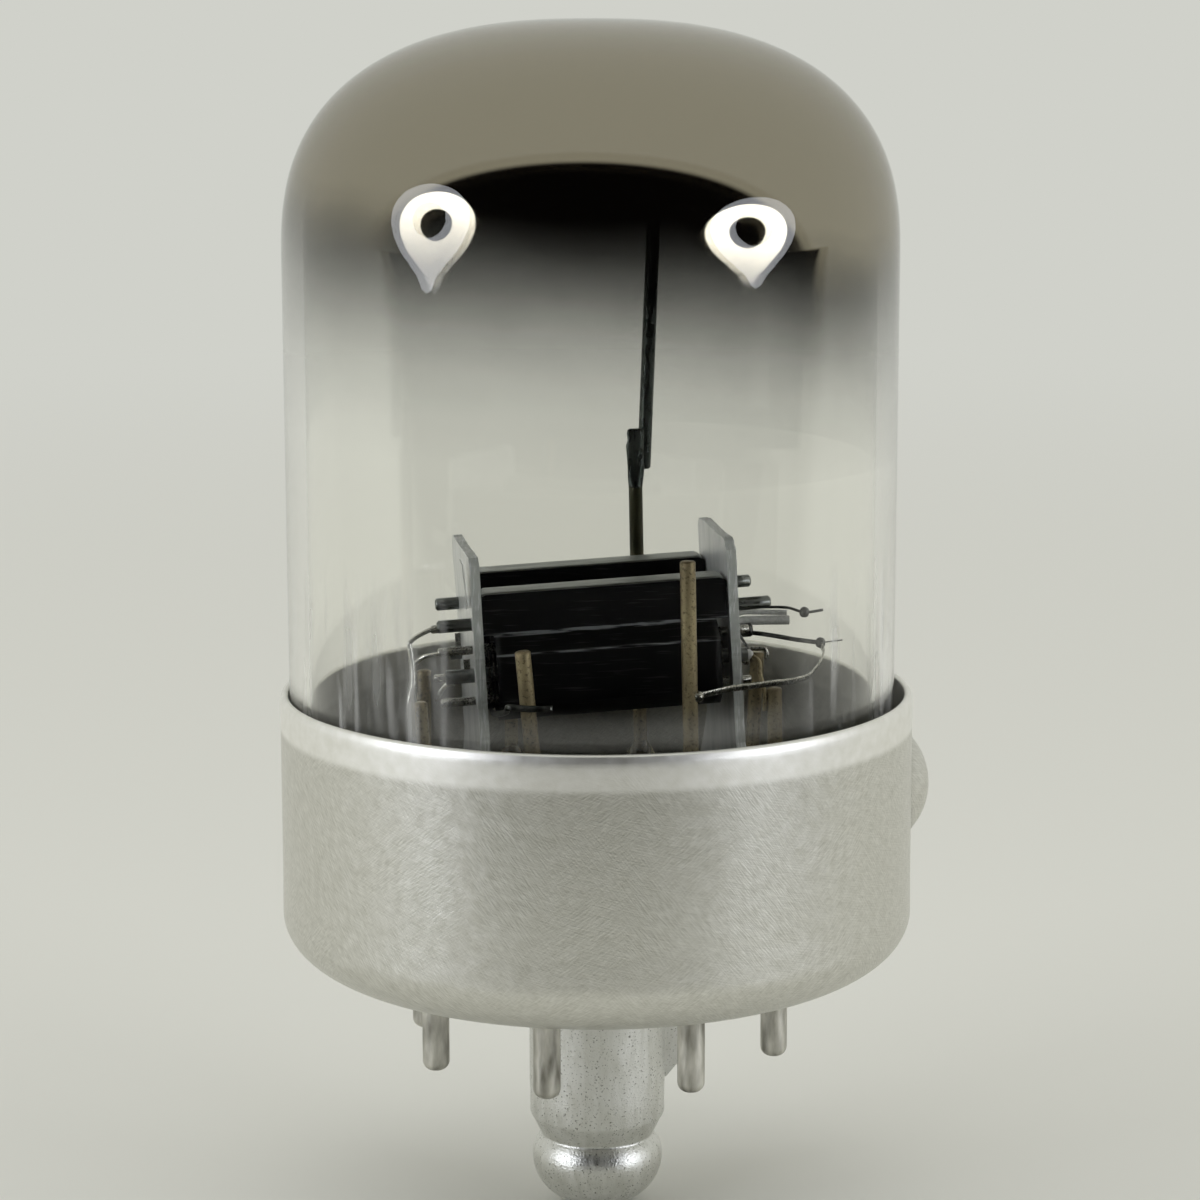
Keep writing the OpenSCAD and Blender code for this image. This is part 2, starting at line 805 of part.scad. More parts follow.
// The flat ribbon from that weld round to the lead of pin 7.
module heater_ribbon() {
    touch = lead_point(7, cage_z - 0.78);
    color("silver")
        difference() {
            union() {
                wire([
                    caged(leg_end + [0, -0.08, -0.03]),
                    caged(leg_end + [-0.05, -0.8, -0.3]),
                    caged(leg_end + [-0.45, -1.6, -0.62]),
                    caged(leg_end + [-0.95, -2.4, -0.8]),
                    caged(leg_end + [-1.45, -3.4, -0.83]),
                    caged([8.6, -3.9, -1.5]),
                    caged([7.4, -5, -1.3]),
                    caged([6, -6.3, -1.08]),
                    caged([5, -7.2, -0.92]),
                    touch + [lead_r + 0.1, 0.05, 0.02],
                    touch + [-0.1, 0, 0]
                ], d = 0.32, d2 = 0.12, steps = 3);
                translate(touch + [lead_r, -0.1, 0]) sphere(d = weld_d);
            }
            lead(7);
            translate(caged(leg_end)) sphere(d = weld_d);
        }
}

// The dark wire that joins the rear heater's other leg to the front heater.
module heater_link() {
    y = triode_pitch / 2;
    weld = [leg_end[0] - 0.3, y, 0.34];
    front_end = cathode_ends[0][1] + 0.3;
    rear_end = cathode_ends[1][1];
    color("dimgray")
        union() {
            wire([
                caged(weld + [1, 0, 0.03]),
                caged(weld),
                caged(weld + [-0.85, 0.18, 0.26]),
                caged([rear_end + 1.75 * heater_run, y + 0.22, 0.73]),
                caged([rear_end + 0.85 * heater_run, y + 0.1, 0.81]),
                caged([rear_end + 0.15, 1.7, 0.8]),
                caged([rear_end, 0, 0.5]),
                caged([rear_end + 0.15, -1.7, 0]),
                caged([front_end - 0.05, -y + 0.3, triode_z])
            ], d = 0.14, steps = 3);
            translate(caged(weld)) sphere(d = weld_d);
        }
}

// The wire from the front heater down to the lead of pin 8.
module heater_wire() {
    y = -triode_pitch / 2;
    end = lead_ends[7];
    front_end = cathode_ends[0][1] + 0.3;
    color("goldenrod")
        difference() {
            wire([
                caged([front_end - 0.05, y, triode_z - 0.1]),
                caged([front_end + 0.25, y - 0.05, triode_z - 0.4]),
                caged([7.2, y - 0.15, -1.2]),
                end + [-lead_r - wire_d / 2, 0, -0.2],
                end + [-lead_r - wire_d / 2 + sink, 0, -1.1]
            ]);
            lead(8);
            heater_front();
        }
}

module anode_wire_front() {
    y = -triode_pitch / 2;
    x = anode_rod_ends[0][0];
    end = lead_ends[4];
    color("silver")
        difference() {
            wire([
                caged([x + 0.2, y, anode_rod_z]),
                caged([-8.2, y, 1.93]),
                caged([-8.93, y - 0.03, 1.5]),
                caged([-8.93, y - 0.1, 1.15]),
                caged([-8.88, y - 0.2, 0.4]),
                caged([-8.93, y - 0.35, -0.4]),
                end + [-lead_r - wire_d / 2, 0, 0],
                end + [-lead_r - wire_d / 2 + sink, 0, -1]
            ]);
            anode_rod(-1);
            lead(5);
        }
}

// The rear anode's strap back to the lead of pin 2.
module anode_strap_rear() {
    y = triode_pitch / 2 + chamber_w / 2;
    touch = lead_point(2, cage_z);
    start = [touch[0], y, cage_z];
    color("silver")
        difference() {
            translate(start - [0.3, 0, 0.15]) cube([0.6, touch[1] - y, 0.3]);
            lead(2);
            translate([0, 0, cage_z - 1])
                linear_extrude(2) translate([touch[0] - 1, 0]) square([2, y + 0.02]);
        }
}

module cathode_wire_rear() {
    y = triode_pitch / 2;
    x = cathode_ends[1][0];
    end = lead_ends[3];
    color("silver")
        difference() {
            wire([
                caged([x + 0.5, y - 0.38, triode_z + 0.18]),
                caged([x, y - 0.38, triode_z + 0.17]),
                caged([-7.51, y - 0.3, -0.25]),
                caged([-8.12, y - 0.1, -0.36]),
                caged([-8.42, y + 0.1, -0.6]),
                end + [-lead_r - wire_d / 2, 0, 0.2],
                end + [-lead_r - wire_d / 2 + sink, 0, -0.8]
            ]);
            cathode(1);
            lead(4);
        }
}

module cathode_wire_front() {
    y = -triode_pitch / 2;
    x = cathode_ends[0][0];
    end = lead_ends[2];
    color("silver")
        difference() {
            wire([
                caged([x + 0.4, y + 0.2, triode_z - cathode_d / 2 - 0.02]),
                caged([x + 0.05, y + 0.25, triode_z - cathode_d / 2 - 0.06]),
                caged([-7.7, -2, -1.3]),
                caged([-7.7, 0.5, -2]),
                caged([-7.1, 4, -2.1]),
                caged([-5.8, 6.6, -2]),
                end + [-lead_r - 0.6, -0.4, -0.15],
                end + [-lead_r - wire_d / 2, 0, -0.3],
                end + [-lead_r - wire_d / 2 + sink, 0, -1]
            ], steps = 3);
            cathode(-1);
            lead(3);
        }
}

// The strap from the front grid's lower rod to the lead of pin 6.
module grid_strap_front() {
    y = -triode_pitch / 2;
    low = triode_z - grid_pitch / 2;
    x = -mica_gap / 2 + 0.3;
    touch = lead_point(6, cage_z - 1.05);
    front = -lead_r - 0.07;
    color("silver")
        difference() {
            union() {
                wire([
                    caged([x, y, low - grid_rod_d / 2 - 0.05]),
                    caged([x, y - 0.8, low - 0.4]),
                    caged([x + 0.15, -5.2, low - 0.2]),
                    caged([x + 0.5, -6.9, -1.2]),
                    touch + [-0.9, front, 0.08],
                    touch + [0, front + 0.02, 0],
                    touch + [1.05, front, -0.02]
                ], d = 0.3, d2 = 0.14);
                translate(caged([x, y, low - grid_rod_d / 2])) sphere(d = weld_d);
            }
            at_triode(-1) grid_rods();
            lead(6);
        }
}

// The wire from the end of the rear grid's lower rod, hooked over the top of the lead of pin 1.
module grid_wire_rear() {
    y = triode_pitch / 2;
    low = triode_z - grid_pitch / 2;
    x = mica_gap / 2 + mica_t + grid_rod_out[1] + weld_gap;
    end = lead_ends[0];
    beside = lead_r + wire_d / 2 + weld_gap;
    over = wire_d / 2 + weld_gap;
    color("silver")
        wire([
            caged([x, y, low]),
            caged([x + 0.4, y, low]),
            end + [-beside - 0.07, -0.1, -0.5],
            end + [-beside - 0.03, 0, -0.1],
            end + [-lead_r - 0.01, 0, over + 0.02],
            end + [0, 0, over + 0.03],
            end + [lead_r + 0.01, 0, over + 0.02],
            end + [beside + 0.01, 0, -0.1],
            end + [beside, 0, -0.35]
        ]);
}

base_shell();
locating_lug();
base_cement();
glass_stem();
glass_bulb();
getter_film();
for (k = [1 : 8])
    pin(k);
for (k = [1, 3, 4, 5, 6, 7, 8])
    lead(k);
lead_2();
getter_rod();
getter();
mica(-mica_gap / 2 - mica_t);  // mica_left
mica(mica_gap / 2);  // mica_right
anode(-1);  // anode_front
anode(1);  // anode_rear
anode_rod(-1);  // anode_rod_front
anode_rod(1);  // anode_rod_rear
grid(-1);  // grid_front
grid(1);  // grid_rear
cathode(-1);  // cathode_front
cathode(1);  // cathode_rear
cathode_tab(-1);  // cathode_tab_front
cathode_tab(1);  // cathode_tab_rear
heater_front();
heater_rear();
heater_leg();
heater_ribbon();
heater_link();
heater_wire();
anode_wire_front();
anode_strap_rear();
cathode_wire_front();
cathode_wire_rear();
grid_strap_front();
grid_wire_rear();
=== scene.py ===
from contextlib import contextmanager
from math import acos, cos, pi, radians, sin, sqrt, tan

import bmesh
import bpy
from mathutils import Matrix, Vector, noise


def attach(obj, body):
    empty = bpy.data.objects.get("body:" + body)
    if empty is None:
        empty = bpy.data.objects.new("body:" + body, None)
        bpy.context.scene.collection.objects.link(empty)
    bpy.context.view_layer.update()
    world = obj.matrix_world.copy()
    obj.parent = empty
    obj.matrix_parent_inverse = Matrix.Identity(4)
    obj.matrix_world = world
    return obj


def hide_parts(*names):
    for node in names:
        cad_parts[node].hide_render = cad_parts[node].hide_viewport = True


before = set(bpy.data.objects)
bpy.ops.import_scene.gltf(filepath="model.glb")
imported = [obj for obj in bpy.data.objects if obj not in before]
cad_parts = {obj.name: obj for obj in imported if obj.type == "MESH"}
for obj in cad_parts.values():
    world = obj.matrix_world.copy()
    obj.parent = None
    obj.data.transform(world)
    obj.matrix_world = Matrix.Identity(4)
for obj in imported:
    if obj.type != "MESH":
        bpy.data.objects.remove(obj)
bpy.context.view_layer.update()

# Camera.
# It stands where the photograph was taken, level with the top of the bulb and looking 10 degrees down.
# The row's X axis points to the key on the lug, a little behind the photograph's right.
MM = 0.001
view_place = Vector((-18.57, -147.04, 43.81)) * MM
view_heading = radians(7.268)
view_pitch = radians(10.171)
view_roll = -0.0020
lens_mm = 95.52


def placed(name, data):
    """A new object in the scene."""
    made = bpy.data.objects.new(name, data)
    bpy.context.scene.collection.objects.link(made)
    return made


ahead = Vector((sin(view_heading) * cos(view_pitch), cos(view_heading) * cos(view_pitch), -sin(view_pitch)))
level_right = Vector((cos(view_heading), -sin(view_heading), 0))
level_up = level_right.cross(ahead)
right = level_right * cos(view_roll) + level_up * sin(view_roll)
up = right.cross(ahead)
camera_data = bpy.data.cameras.new("camera")
camera_data.lens = lens_mm
camera_data.sensor_width = 36
camera_data.clip_start = 0.005
camera = placed("camera", camera_data)
camera.matrix_world = Matrix.Translation(view_place) @ Matrix((right, up, -ahead)).transposed().to_4x4()
bpy.context.scene.camera = camera

# Studio.
# A pale table and walls with an open front, past which the room is dark. The mirror in the dome
# shows that opening. Two ring lamps stand at its sides.
PALE = "#d0d1ca"
ROOM = "#0b0a0a"
WALL_LIGHT = 0.95
FLOOR_Z = -12.4
FLOOR_R = 3000
FLOOR_SIDES = 64
FLOOR_LIT_R = 90
FLOOR_FAR_R = 420
TABLE_FRONT = (126, 141)


def linear(hex_colour):
    """The linear colour of an sRGB hex value."""
    parts = [int(hex_colour[i:i + 2], 16) / 255 for i in (1, 3, 5)]
    return tuple(c / 12.92 if c <= 0.04045 else ((c + 0.055) / 1.055) ** 2.4 for c in parts) + (1,)


def add(tree, kind, inputs=(), **settings):
    """Adds a node. Its inputs are listed in order or named in a dict. Each is a value, a hex colour, a
    socket, or a node, which stands for its first used output."""
    new = tree.nodes.new(kind if kind.startswith(("Geometry", "NodeGroup")) else "ShaderNode" + kind)
    for name, value in settings.items():
        setattr(new, name, value)
    for name, value in inputs.items() if isinstance(inputs, dict) else enumerate(inputs):
        if isinstance(value, bpy.types.Node):
            value = next(socket for socket in value.outputs if socket.enabled)
        if isinstance(value, bpy.types.NodeSocket):
            tree.links.new(value, new.inputs[name])
        else:
            new.inputs[name].default_value = linear(value) if isinstance(value, str) else value
    return new


world = bpy.data.worlds.new("studio")
world.use_nodes = True
air = world.node_tree
air.nodes.clear()
path = add(air, "LightPath")
way = add(air, "TexCoord")
part_way = add(air, "SeparateXYZ", (way.outputs["Generated"],))
towards = add(air, "Math", (part_way.outputs[1], -1.0), operation="MULTIPLY")
open_side = add(air, "MapRange", (towards, -0.25, 0.35), interpolation_type="SMOOTHSTEP")
# The opening's top edge is a line that falls to the right, as the ceiling does there.
edge_middle = add(air, "Math", (towards, 1.2), operation="MULTIPLY")
edge_tilt = add(air, "Math", (part_way.outputs[0], -0.2), operation="MULTIPLY")
edge = add(air, "Math", (edge_middle, edge_tilt), operation="ADD")
below_edge = add(air, "Math", (edge, part_way.outputs[2]), operation="SUBTRACT")
open_top = add(air, "MapRange", (below_edge, -0.04, 0.06), interpolation_type="SMOOTHSTEP")
opening = add(air, "Math", (open_side, open_top), operation="MULTIPLY")
seen_colour = add(air, "Mix", {0: opening, 6: PALE, 7: ROOM}, data_type="RGBA")
lit_colour = add(air, "Mix", {0: opening, 6: "#ffffff", 7: ROOM}, data_type="RGBA")
seen_1 = add(air, "Math", (path.outputs["Is Camera Ray"], path.outputs["Is Glossy Ray"]),
    operation="MAXIMUM")
seen_2 = add(air, "Math", (seen_1, path.outputs["Is Transmission Ray"]), operation="MAXIMUM")
# Light that reaches a dull surface through the glass counts as the walls' light, not as the backdrop.
direct = add(air, "Math", (path.outputs["Diffuse Depth"], 0.5), operation="LESS_THAN")
seen_3 = add(air, "Math", (seen_2, direct), operation="MULTIPLY")
lit = add(air, "Background", {"Color": lit_colour, "Strength": WALL_LIGHT})
seen = add(air, "Background", {"Color": seen_colour})
choice = add(air, "MixShader", (seen_3, lit, seen))
add(air, "OutputWorld", {"Surface": choice})
bpy.context.scene.world = world
bpy.context.scene.view_settings.view_transform = "Standard"


def mesh_object(name, points, faces, smooth=True):
    """A mesh object from points in millimetres."""
    mesh = bpy.data.meshes.new(name)
    mesh.from_pydata([tuple(c * MM for c in p) for p in points], [], faces)
    mesh.update()
    for face in mesh.polygons:
        face.use_smooth = smooth
    return placed(name, mesh)


def circle(x, y, z, count, across, along=None):
    """Points of a level circle, or of an oval with two radii."""
    return [(x + across * cos(2 * pi * k / count), y + (along or across) * sin(2 * pi * k / count), z)
        for k in range(count)]


def band(a, b, count, turned=False):
    """Faces between two rings of points that start at a and b."""
    faces = []
    for k in range(count):
        j = (k + 1) % count
        faces.append((a + k, b + k, b + j, a + j) if turned else (a + k, a + j, b + j, b + k))
    return faces


def material_tree(name):
    """A new material, its node tree, and a socket with its Object coordinates."""
    made = bpy.data.materials.new(name)
    made.use_nodes = True
    made.node_tree.nodes.clear()
    return made, made.node_tree, add(made.node_tree, "TexCoord").outputs["Object"]


floor_material, tree, place = material_tree("pale_table")
flat_place = add(tree, "VectorMath", (place, (1, 1, 0)), operation="MULTIPLY")
from_middle = add(tree, "VectorMath", (flat_place,), operation="LENGTH")
far = add(tree, "MapRange", (from_middle, FLOOR_LIT_R * MM, FLOOR_FAR_R * MM),
    interpolation_type="SMOOTHSTEP")
table = add(tree, "BsdfPrincipled", {"Base Color": "#dcdcd2", "Roughness": 0.7, "Specular IOR Level": 0.0})
across = add(tree, "SeparateXYZ", (place,))
past_edge = add(tree, "MapRange", (from_middle, TABLE_FRONT[0] * MM, TABLE_FRONT[1] * MM),
    interpolation_type="SMOOTHSTEP")
in_front = add(tree, "MapRange", (across.outputs[1], -15 * MM, -70 * MM), interpolation_type="SMOOTHSTEP")
off_table = add(tree, "Math", (past_edge, in_front), operation="MULTIPLY")
far_colour = add(tree, "Mix", {0: off_table, 6: PALE, 7: ROOM}, data_type="RGBA")
haze = add(tree, "Emission", {"Color": far_colour})
far_or_off = add(tree, "Math", (far, off_table), operation="MAXIMUM")
floor_mix = add(tree, "MixShader", (far_or_off, table, haze))
add(tree, "OutputMaterial", {"Surface": floor_mix})
floor = mesh_object("floor", circle(0, 0, FLOOR_Z, FLOOR_SIDES, FLOOR_R), [tuple(range(FLOOR_SIDES))],
    smooth=False)
floor.data.materials.append(floor_material)

# Each ring lamp: the place on the dome that mirrors it, its azimuth from the front and elevation from
# there, and the half sizes of its outer and inner oval.
RING_LAMPS = [((-8.5, -11.5, 35.8), -68.5, 10.3, (134, 122), (55, 53)),
    ((5.2, -13.2, 35.2), 54.9, 7.0, (148, 93), (64, 47))]
LAMP_FAR = 450
LAMP_LIGHT = 5.2
LAMP_SIDES = 48
ring_material, tree, place = material_tree("ring_lamp")
path = add(tree, "LightPath")
bounces = add(tree, "Math", (path.outputs["Glossy Depth"], path.outputs["Diffuse Depth"]), operation="ADD")
unbounced = add(tree, "Math", (bounces, 0.5), operation="LESS_THAN")
hidden = add(tree, "Math", (unbounced, path.outputs["Is Transmission Ray"]), operation="MULTIPLY")
glow = add(tree, "Emission", {"Color": "#f2f5fc", "Strength": LAMP_LIGHT})
clear = add(tree, "BsdfTransparent")
ring_mix = add(tree, "MixShader", (hidden, glow, clear))
add(tree, "OutputMaterial", {"Surface": ring_mix})
for number, (mirror_place, azimuth, elevation, outer, inner) in enumerate(RING_LAMPS):
    a, e = radians(azimuth), radians(elevation)
    out = Vector((sin(a) * cos(e), -cos(a) * cos(e), sin(e)))
    middle = Vector(mirror_place) + out * LAMP_FAR
    side = Vector((0, 0, 1)).cross(out).normalized()
    rise = out.cross(side)
    turns = [2 * pi * i / LAMP_SIDES for i in range(LAMP_SIDES)]
    points = [middle + side * cos(t) * wide + rise * sin(t) * high
        for wide, high in (outer, inner) for t in turns]
    lamp = mesh_object("ring_lamp_%d" % (number + 1), points, band(0, LAMP_SIDES, LAMP_SIDES), smooth=False)
    lamp.data.materials.append(ring_material)
    lamp.visible_camera = False

# Contact pins.
# Eight short pins of nickel-iron wire, tinned, with turned round tips. They are sealed in the glass
# stem on a circle of 17.46 mm and stick out under the shell.
PIN_CIRCLE_R = 8.73
PIN_R = 0.635
PIN_BOTTOM = -4.45
PIN_TOP = 5.6
PIN_ROUND = 0.45
PIN_SIDES = 32


def lathe(profile, sides, middle=(0, 0), closed=False):
    """Points and faces turned from a profile of (radius, height), outside upwards."""
    points, rings = [], []
    for r, z in profile:
        start = len(points)
        if r < 1e-6:
            points.append((middle[0], middle[1], z))
        else:
            points += circle(*middle, z, sides, r)
        rings.append(list(range(start, len(points))))
    faces = []
    for a, b in zip(rings, rings[1:] + rings[:1] if closed else rings[1:]):
        if len(a) == 1:
            faces += [(a[0], b[(k + 1) % sides], b[k]) for k in range(sides)]
        elif len(b) == 1:
            faces += [(a[k], a[(k + 1) % sides], b[0]) for k in range(sides)]
        else:
            faces += band(a[0], b[0], sides)
    return points, faces


def arc(middle, rx, ry, start, end, steps):
    """Points of an elliptical arc, in degrees."""
    return [(middle[0] + rx * cos(radians(start + (end - start) * i / steps)),
        middle[1] + ry * sin(radians(start + (end - start) * i / steps))) for i in range(steps + 1)]


def settle(piece, materials, nodes):
    """Gives a piece its materials and body, and hides its CAD nodes."""
    for material in materials:
        piece.data.materials.append(material)
    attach(piece, "root")
    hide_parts(*nodes)


def blend(tree, value, low, high, dark, light, most=1.0):
    """A colour that goes from dark to light while a value rises from low to high."""
    share = add(tree, "MapRange", (value, low, high, 0.0, most))
    return add(tree, "Mix", {0: share, 6: dark, 7: light}, data_type="RGBA")


def metal(name, dark, light, rough, grain_mm, bump_mm, metallic=1.0, stretch=(1, 1, 1)):
    """A worn metal whose colour and roughness wander between two values, with a fine bump."""
    made, tree, place = material_tree(name)
    drawn = add(tree, "Mapping", {"Vector": place, "Scale": stretch})
    wander = add(tree, "TexNoise", {"Vector": drawn, "Scale": 1 / (grain_mm * 4 * MM), "Detail": 3.0})
    grain = add(tree, "TexNoise", {"Vector": drawn, "Scale": 1 / (grain_mm * MM), "Detail": 4.0})
    colour = blend(tree, wander, 0.3, 0.7, dark, light)
    roughness = add(tree, "MapRange", (grain, 0.3, 0.7, rough[0], rough[1]))
    add(tree, "OutputMaterial", {"Surface": add(tree, "BsdfPrincipled",
        {"Base Color": colour, "Metallic": metallic, "Roughness": roughness,
        "Normal": add(tree, "Bump", {"Height": grain, "Distance": bump_mm * MM})})})
    return made


# Tinned wire: a dull grey skin, rubbed along its length by the socket's springs.
tinned_wire = metal("tinned_contact_wire", "#7e7c74", "#e0ded6", (0.3, 0.58), 0.12, 0.02,
    stretch=(1, 1, 0.25))

pin_profile = [(0, PIN_BOTTOM)] + arc((PIN_R - PIN_ROUND, PIN_BOTTOM + PIN_ROUND), PIN_ROUND, PIN_ROUND,
    -90, 0, 8)
pin_profile += [(PIN_R, z) for z in (-3, -2, -1, 0, 2, 4)] + [(PIN_R, PIN_TOP), (0, PIN_TOP)]


def pin_place(number):
    """Where a pin stands, counted from the key."""
    a = radians(22.5 + 45 * (number - 1))
    return PIN_CIRCLE_R * cos(a), PIN_CIRCLE_R * sin(a)


for number in range(1, 9):
    pin = mesh_object("contact_pin_%d" % number, *lathe(pin_profile, PIN_SIDES, pin_place(number)))
    settle(pin, [tinned_wire], ["pin_%d" % number])

# Leads.
# The wires that stand on the pins inside the bulb and carry the electrodes. They are copper-clad
# wire, browned and stained where the glass was sealed, and cropped level at the top.
LEAD_R = 0.35
LEAD_ENDS = [(8.45, 3.34, 13.9), (3.05, 8.2, 21.5), (-3.34, 8.07, 13.4), (-8.02, 3.34, 13.45),
    (-8.57, -3.34, 13.3), (-4.29, -8.07, 16.5), (3.04, -8.07, 20.4), (7.95, -3.25, 13.5)]


def rod(start, end, radius, crop=0.06, sides=24, rows=40):
    """A round rod between two points with cropped ends."""
    start, end = Vector(start), Vector(end)
    along = (end - start).normalized()
    side = along.orthogonal().normalized()
    third = along.cross(side)
    length = (end - start).length
    rings = [(0, radius - crop), (crop, radius)]
    rings += [(crop + (length - 2 * crop) * i / rows, radius) for i in range(1, rows)]
    rings += [(length - crop, radius), (length, radius - crop)]
    points = [tuple(start)]
    for s, r in rings:
        for k in range(sides):
            t = 2 * pi * k / sides
            points.append(tuple(start + along * s + (side * cos(t) + third * sin(t)) * r))
    points.append(tuple(end))
    last = len(points) - 1
    faces = [(0, 1 + (k + 1) % sides, 1 + k) for k in range(sides)]
    for i in range(len(rings) - 1):
        faces += band(1 + i * sides, 1 + (i + 1) * sides, sides)
    top = 1 + (len(rings) - 1) * sides
    faces += [(top + k, top + (k + 1) % sides, last) for k in range(sides)]
    return points, faces


# Copper-clad wire: brown and gold oxide in long stains, with dark flecks; the bare grey patches higher up
# are not drawn.
browned_wire, tree, place = material_tree("oxidised_clad_wire")
stretched = add(tree, "Mapping", {"Vector": place, "Scale": (1, 1, 0.22)})
stain = add(tree, "TexNoise", {"Vector": stretched, "Scale": 1 / (0.9 * MM), "Detail": 4.0})
fleck = add(tree, "TexNoise", {"Vector": place, "Scale": 1 / (0.15 * MM), "Detail": 3.0})
brown = blend(tree, stain, 0.36, 0.64, "#84765a", "#b9aa84")
specked = blend(tree, fleck, 0.52, 0.68, brown, "#3c3022", most=0.6)
# The upper support, behind, is stained dark olive.
where = add(tree, "SeparateXYZ", (place,))
behind = add(tree, "MapRange", (where.outputs[1], 0.0, 2 * MM))
higher = add(tree, "MapRange", (where.outputs[2], 15.5 * MM, 18.5 * MM))
olive = add(tree, "Math", (behind, higher), operation="MULTIPLY")
specked = add(tree, "Mix", {0: olive, 6: specked, 7: "#35341c"}, data_type="RGBA")
dullness = add(tree, "MapRange", (stain, 0.3, 0.7, 0.56, 0.36))
add(tree, "OutputMaterial", {"Surface": add(tree, "BsdfPrincipled",
    {"Base Color": specked, "Metallic": 0.5, "Roughness": dullness,
    "Normal": add(tree, "Bump", {"Height": fleck, "Distance": 0.015 * MM})})})


def lead_point(number, z):
    """The middle of a lead at a height."""
    x, y = pin_place(number)
    end = LEAD_ENDS[number - 1]
    share = (z - PIN_TOP) / (end[2] - PIN_TOP)
    return Vector((x + (end[0] - x) * share, y + (end[1] - y) * share, z))


for number in range(1, 9):
    end = LEAD_ENDS[number - 1]
    lead = mesh_object("lead_wire_%d" % number, *rod(lead_point(number, PIN_TOP), end, LEAD_R))
    if number == 2:
        lower_support = lead
    else:
        settle(lead, [browned_wire], ["lead_%d" % number])

# Getter support.
# The lead of pin 2 runs on up as the getter's lower support. Its top is pinched flat and welded to
# a dark rod, which carries the ring that flashed the mirror on the dome.
PINCH_T = 0.36
ROD_D = 0.69
ROD_Z = 22.3
RING_Z = 37.4
RING_R = 2.9
RING_CHANNEL = 0.9
RING_SHEET = 0.15
RING_SIDES = 64
pinch_base = Vector(LEAD_ENDS[1])
rod_foot = pinch_base + Vector((0.5, (PINCH_T + ROD_D) / 2, 0))
rod_foot.z = ROD_Z
rod_head = Vector((rod_foot.x + 0.6, rod_foot.y, RING_Z))


@contextmanager
def opened(data):
    """A mesh held open for edits, and written back."""
    mesh = bmesh.new()
    mesh.from_mesh(data)
    yield mesh
    mesh.to_mesh(data)
    mesh.free()


def joined(piece, points, faces, smooth=True):
    """Adds more points and faces, in millimetres, to a piece's mesh."""
    with opened(piece.data) as mesh:
        made = [mesh.verts.new(tuple(c * MM for c in p)) for p in points]
        for face in faces:
            mesh.faces.new([made[i] for i in face]).smooth = smooth


# Satin nickel rod: dark grey from the getter's flash, with a soft shine along it.
flashed_nickel = metal("flashed_nickel_rod", "#2e3330", "#565b57", (0.22, 0.36), 0.2, 0.012, metallic=0.7,
    stretch=(1, 1, 0.25))
# The pinch, from the lead's end up: height, half width, half thickness and sideways lean.
PINCH = [(-0.4, 0.33, 0.33, 0.0), (0.0, 0.36, 0.3, 0.0), (0.4, 0.4, 0.2, 0.01), (0.9, 0.43, 0.18, 0.03),
    (1.5, 0.42, 0.18, -0.02), (2.0, 0.45, 0.18, -0.04), (2.3, 0.42, 0.18, 0.02), (2.6, 0.45, 0.18, 0.0),
    (2.78, 0.42, 0.16, 0.0), (2.86, 0.3, 0.1, 0.0)]
PINCH_SIDES = 24
points, faces = [], []
for rise, wide, deep, shift in PINCH:
    points += circle(pinch_base.x + shift, pinch_base.y, pinch_base.z + rise, PINCH_SIDES, wide, deep)
for i in range(len(PINCH) - 1):
    faces += band(i * PINCH_SIDES, (i + 1) * PINCH_SIDES, PINCH_SIDES)
faces += [tuple(reversed(range(PINCH_SIDES))), tuple(range(len(points) - PINCH_SIDES, len(points)))]
joined(lower_support, points, faces)
settle(lower_support, [browned_wire, flashed_nickel], ["lead_2"])
for face in lower_support.data.polygons:
    if face.center.z > (pinch_base.z - 0.2) * MM:
        face.material_index = 1

support = mesh_object("getter_support_rod", *rod(rod_foot, rod_head, ROD_D / 2, crop=0.08))
settle(support, [flashed_nickel], ["getter_rod"])

half_channel = RING_CHANNEL / 2
lean = 1 - RING_R / sqrt(rod_head.x ** 2 + rod_head.y ** 2)
# One side of the channel: how far in from its wall, and how high.
CHANNEL_SIDE = [(0.08, 0), (0, 0.08), (0, 0.86), (0.04, 0.9), (RING_SHEET, 0.87), (RING_SHEET, RING_SHEET)]
outer_side = [(RING_R + half_channel - d, RING_Z + z) for d, z in CHANNEL_SIDE]
inner_side = [(RING_R - half_channel + d, RING_Z + z) for d, z in reversed(CHANNEL_SIDE)]
ring_profile = inner_side[-2:] + outer_side + inner_side[:-2]
getter = mesh_object("getter_ring", *lathe(ring_profile, RING_SIDES, (rod_head.x * lean, rod_head.y * lean),
    closed=True))
settle(getter, [flashed_nickel], ["getter"])

# Glass stem.
# The pressed glass disc that seals the pins, with a fillet of glass climbing round each lead and the
# pinched exhaust tip hanging in the lug. The glass is tan near the wires, from their oxide.
BULB_R = 14.3
BULB_SHIFT = 0.22
STEM_Z = 3.2
STEM_TOP = 6.6
FILLET_H = 2.0
FILLET_R = 2.2
TIP_R = 2.0
TIP_LOW = -5.8

pressed_glass, tree, place = material_tree("pressed_stem_glass")
height = add(tree, "SeparateXYZ", (place,))
climb = add(tree, "MapRange", (height.outputs[2], (STEM_TOP - 0.6) * MM, (STEM_TOP + 1.2) * MM))
flow = add(tree, "TexNoise", {"Vector": place, "Scale": 1 / (1.5 * MM), "Detail": 2.0})
oxide = add(tree, "Math", (climb, flow), operation="MULTIPLY")
tint = add(tree, "Mix", {0: oxide, 6: "#dfe3da", 7: "#b88b62"}, data_type="RGBA")
add(tree, "OutputMaterial", {"Surface": add(tree, "BsdfPrincipled",
    {"Base Color": tint, "Roughness": 0.06, "IOR": 1.5, "Transmission Weight": 1.0,
    "Normal": add(tree, "Bump", {"Height": flow, "Distance": 0.08 * MM})})})

